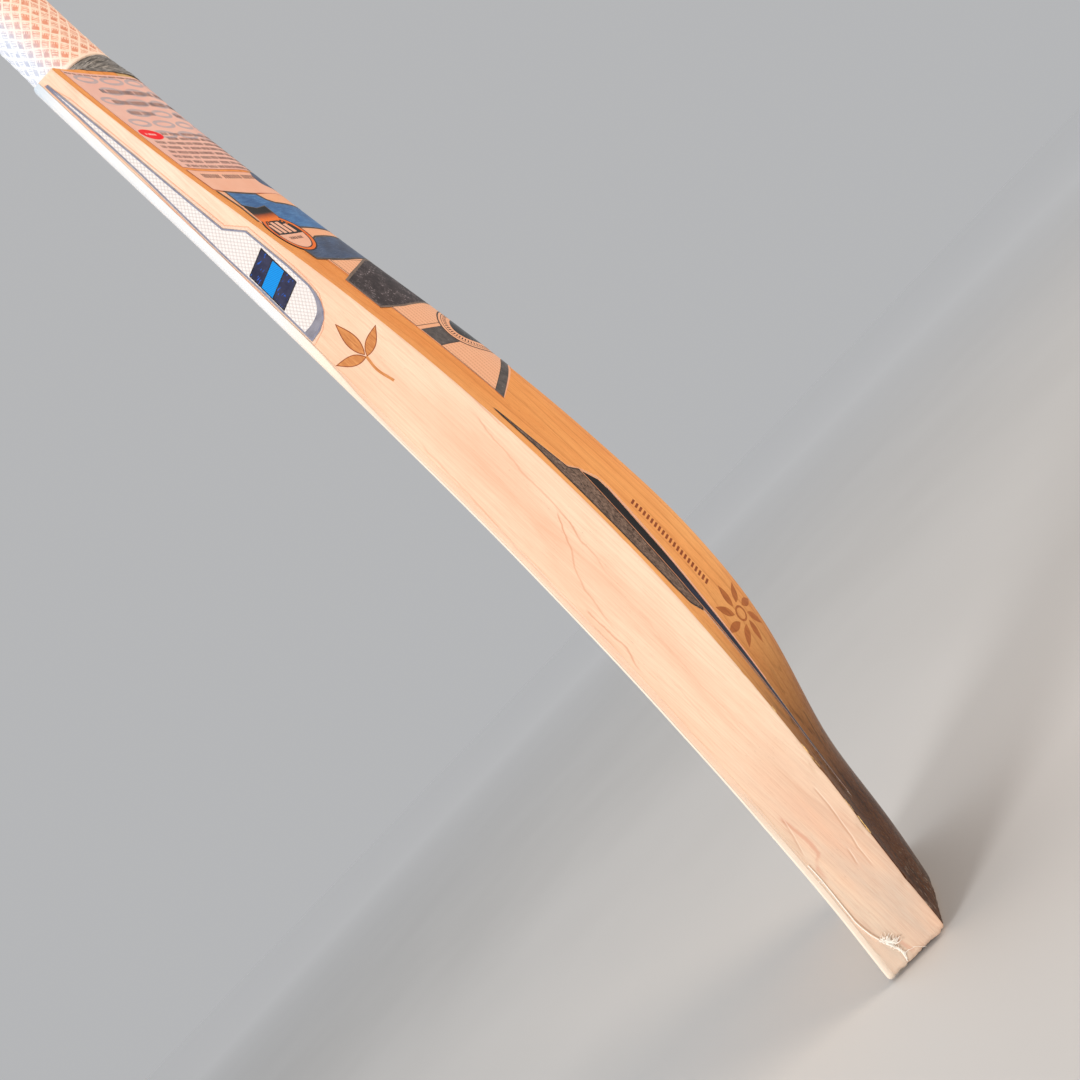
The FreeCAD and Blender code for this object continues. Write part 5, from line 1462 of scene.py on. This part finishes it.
# thin slivers of lighter wood along the edge/back corner; their bright golden colour is partly a painted highlight
# along that corner
splinters = []
for k in range(24):
    z = rf_.choice([rf_.uniform(80, 92), rf_.uniform(46, 63), rf_.uniform(46, 56), rf_.uniform(20, 130)])
    L = rf_.uniform(1.2, 4.0)
    yb_ = [float(back_y(np.array(53.7), np.array(z - L * s))) for s in np.linspace(0, 1, 6)]
    dy, dx = rf_.uniform(0.05, 0.40), rf_.uniform(-.14, .02)
    splinters.append(tube([np.array([53.90 + dx + 0.03 * math.sin(s * 7 + k), yb_[q] - dy + 0.06 * math.sin(s * 9 + k), z - L * s]) for q, s in enumerate(np.linspace(0, 1, 6))], rf_.uniform(0.07, 0.12), 5, 0.6))
v_, f_ = join2(splinters)
# bright golden colour: partly the wood's own colour, partly a painted highlight
m_ = Mat("splinter_and_highlight", 0.4)
m_.color(m_.mix(m_.remap(m_.noise((1.5, 1.5, 0.4), 3.0, 0.6), 0.35, 0.65), lin(255, 224, 160), lin(246, 196, 122)))
MATS["splinter_and_highlight"] = m_.m
add_mesh("corner_splinters", row(v_), f_, MATS["splinter_and_highlight"])
v_, f_ = join2(parts)
fray = add_mesh("torn_sheet_edge", row(v_), f_, MATS["fray"])

# ---------------------------------------------------------------- floor, light, camera
def stage_material():
    m = Mat("pale_floor", 0.9)
    n = m.noise((0.004, 0.004, 0.004), 2.0, 0.5)
    o = m.xyz()
    ox, oy = m.math("SUBTRACT", o[0], 900.0), m.math("ADD", o[1], 900.0)
    far = m.math("SQRT", m.math("ADD", m.math("MULTIPLY", ox, ox), m.math("MULTIPLY", oy, oy)))
    c = m.mix(m.remap(n, 0.3, 0.7), (0.62, 0.62, 0.615), (0.59, 0.59, 0.585))
    m.color(m.mix(m.remap(far, 2000.0, 4800.0), c, (0.98, 0.98, 0.98)))
    return m.m


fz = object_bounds()[0][2] - 0.0005
me = bpy.data.meshes.new("floor")
S_ = 12.0
me.from_pydata([(-S_, -S_, fz), (S_, -S_, fz), (S_, S_, fz), (-S_, S_, fz)], [], [(0, 1, 2, 3)])
me.materials.append(stage_material())
floor = bpy.data.objects.new("floor", me)
bpy.context.scene.collection.objects.link(floor)

world = bpy.data.worlds.new("studio")
bpy.context.scene.world = world
world.use_nodes = True
bg = world.node_tree.nodes["Background"]
bg.inputs[0].default_value = (0.93, 0.94, 0.96, 1)
bg.inputs[1].default_value = 0.50


def area(name, loc, target, size, power, color, spread=180.0):
    li = bpy.data.lights.new(name, "AREA"); li.shape = "DISK"; li.size = size; li.energy = power; li.color = color
    li.spread = math.radians(spread)
    o = bpy.data.objects.new(name, li)
    o.location = loc
    o.rotation_euler = (Vector(target) - Vector(loc)).to_track_quat("-Z", "Y").to_euler()
    bpy.context.scene.collection.objects.link(o)
    return o


area("key", (1.55, -1.60, -0.10), (0.0, 0.0, -0.38), 0.8, 15.0, (1.0, 0.97, 0.94), 110.0)
area("fill_back", (0.55, 1.45, 0.35), (0.0, 0.0, -0.35), 0.9, 16.0, (1.0, 0.80, 0.62))
area("top", (-0.5, -0.3, 1.6), (0.0, 0.0, -0.2), 1.2, 8.0, (1.0, 1.0, 1.0))

cam_d = bpy.data.cameras.new("camera")
cam_d.sensor_fit = "HORIZONTAL"; cam_d.sensor_width = 36.0; cam_d.lens = 1111.8816 / 1080.0 * 36.0
cam_d.clip_start, cam_d.clip_end = 0.01, 60.0
cam = bpy.data.objects.new("camera", cam_d)
right = Vector((-0.110835, 0.684011, -0.721002)); up = Vector((-0.024582, 0.723363, 0.69003)); back = -Vector((-0.993535, -0.094203, 0.063359))
R_ = Matrix((right, up, back)).transposed()
cam.matrix_world = Matrix.Translation((0.5440664, 0.0447952, -0.5084652)) @ R_.to_4x4()
bpy.context.scene.collection.objects.link(cam)
bpy.context.scene.camera = cam
bpy.context.scene.view_settings.view_transform = "Standard"
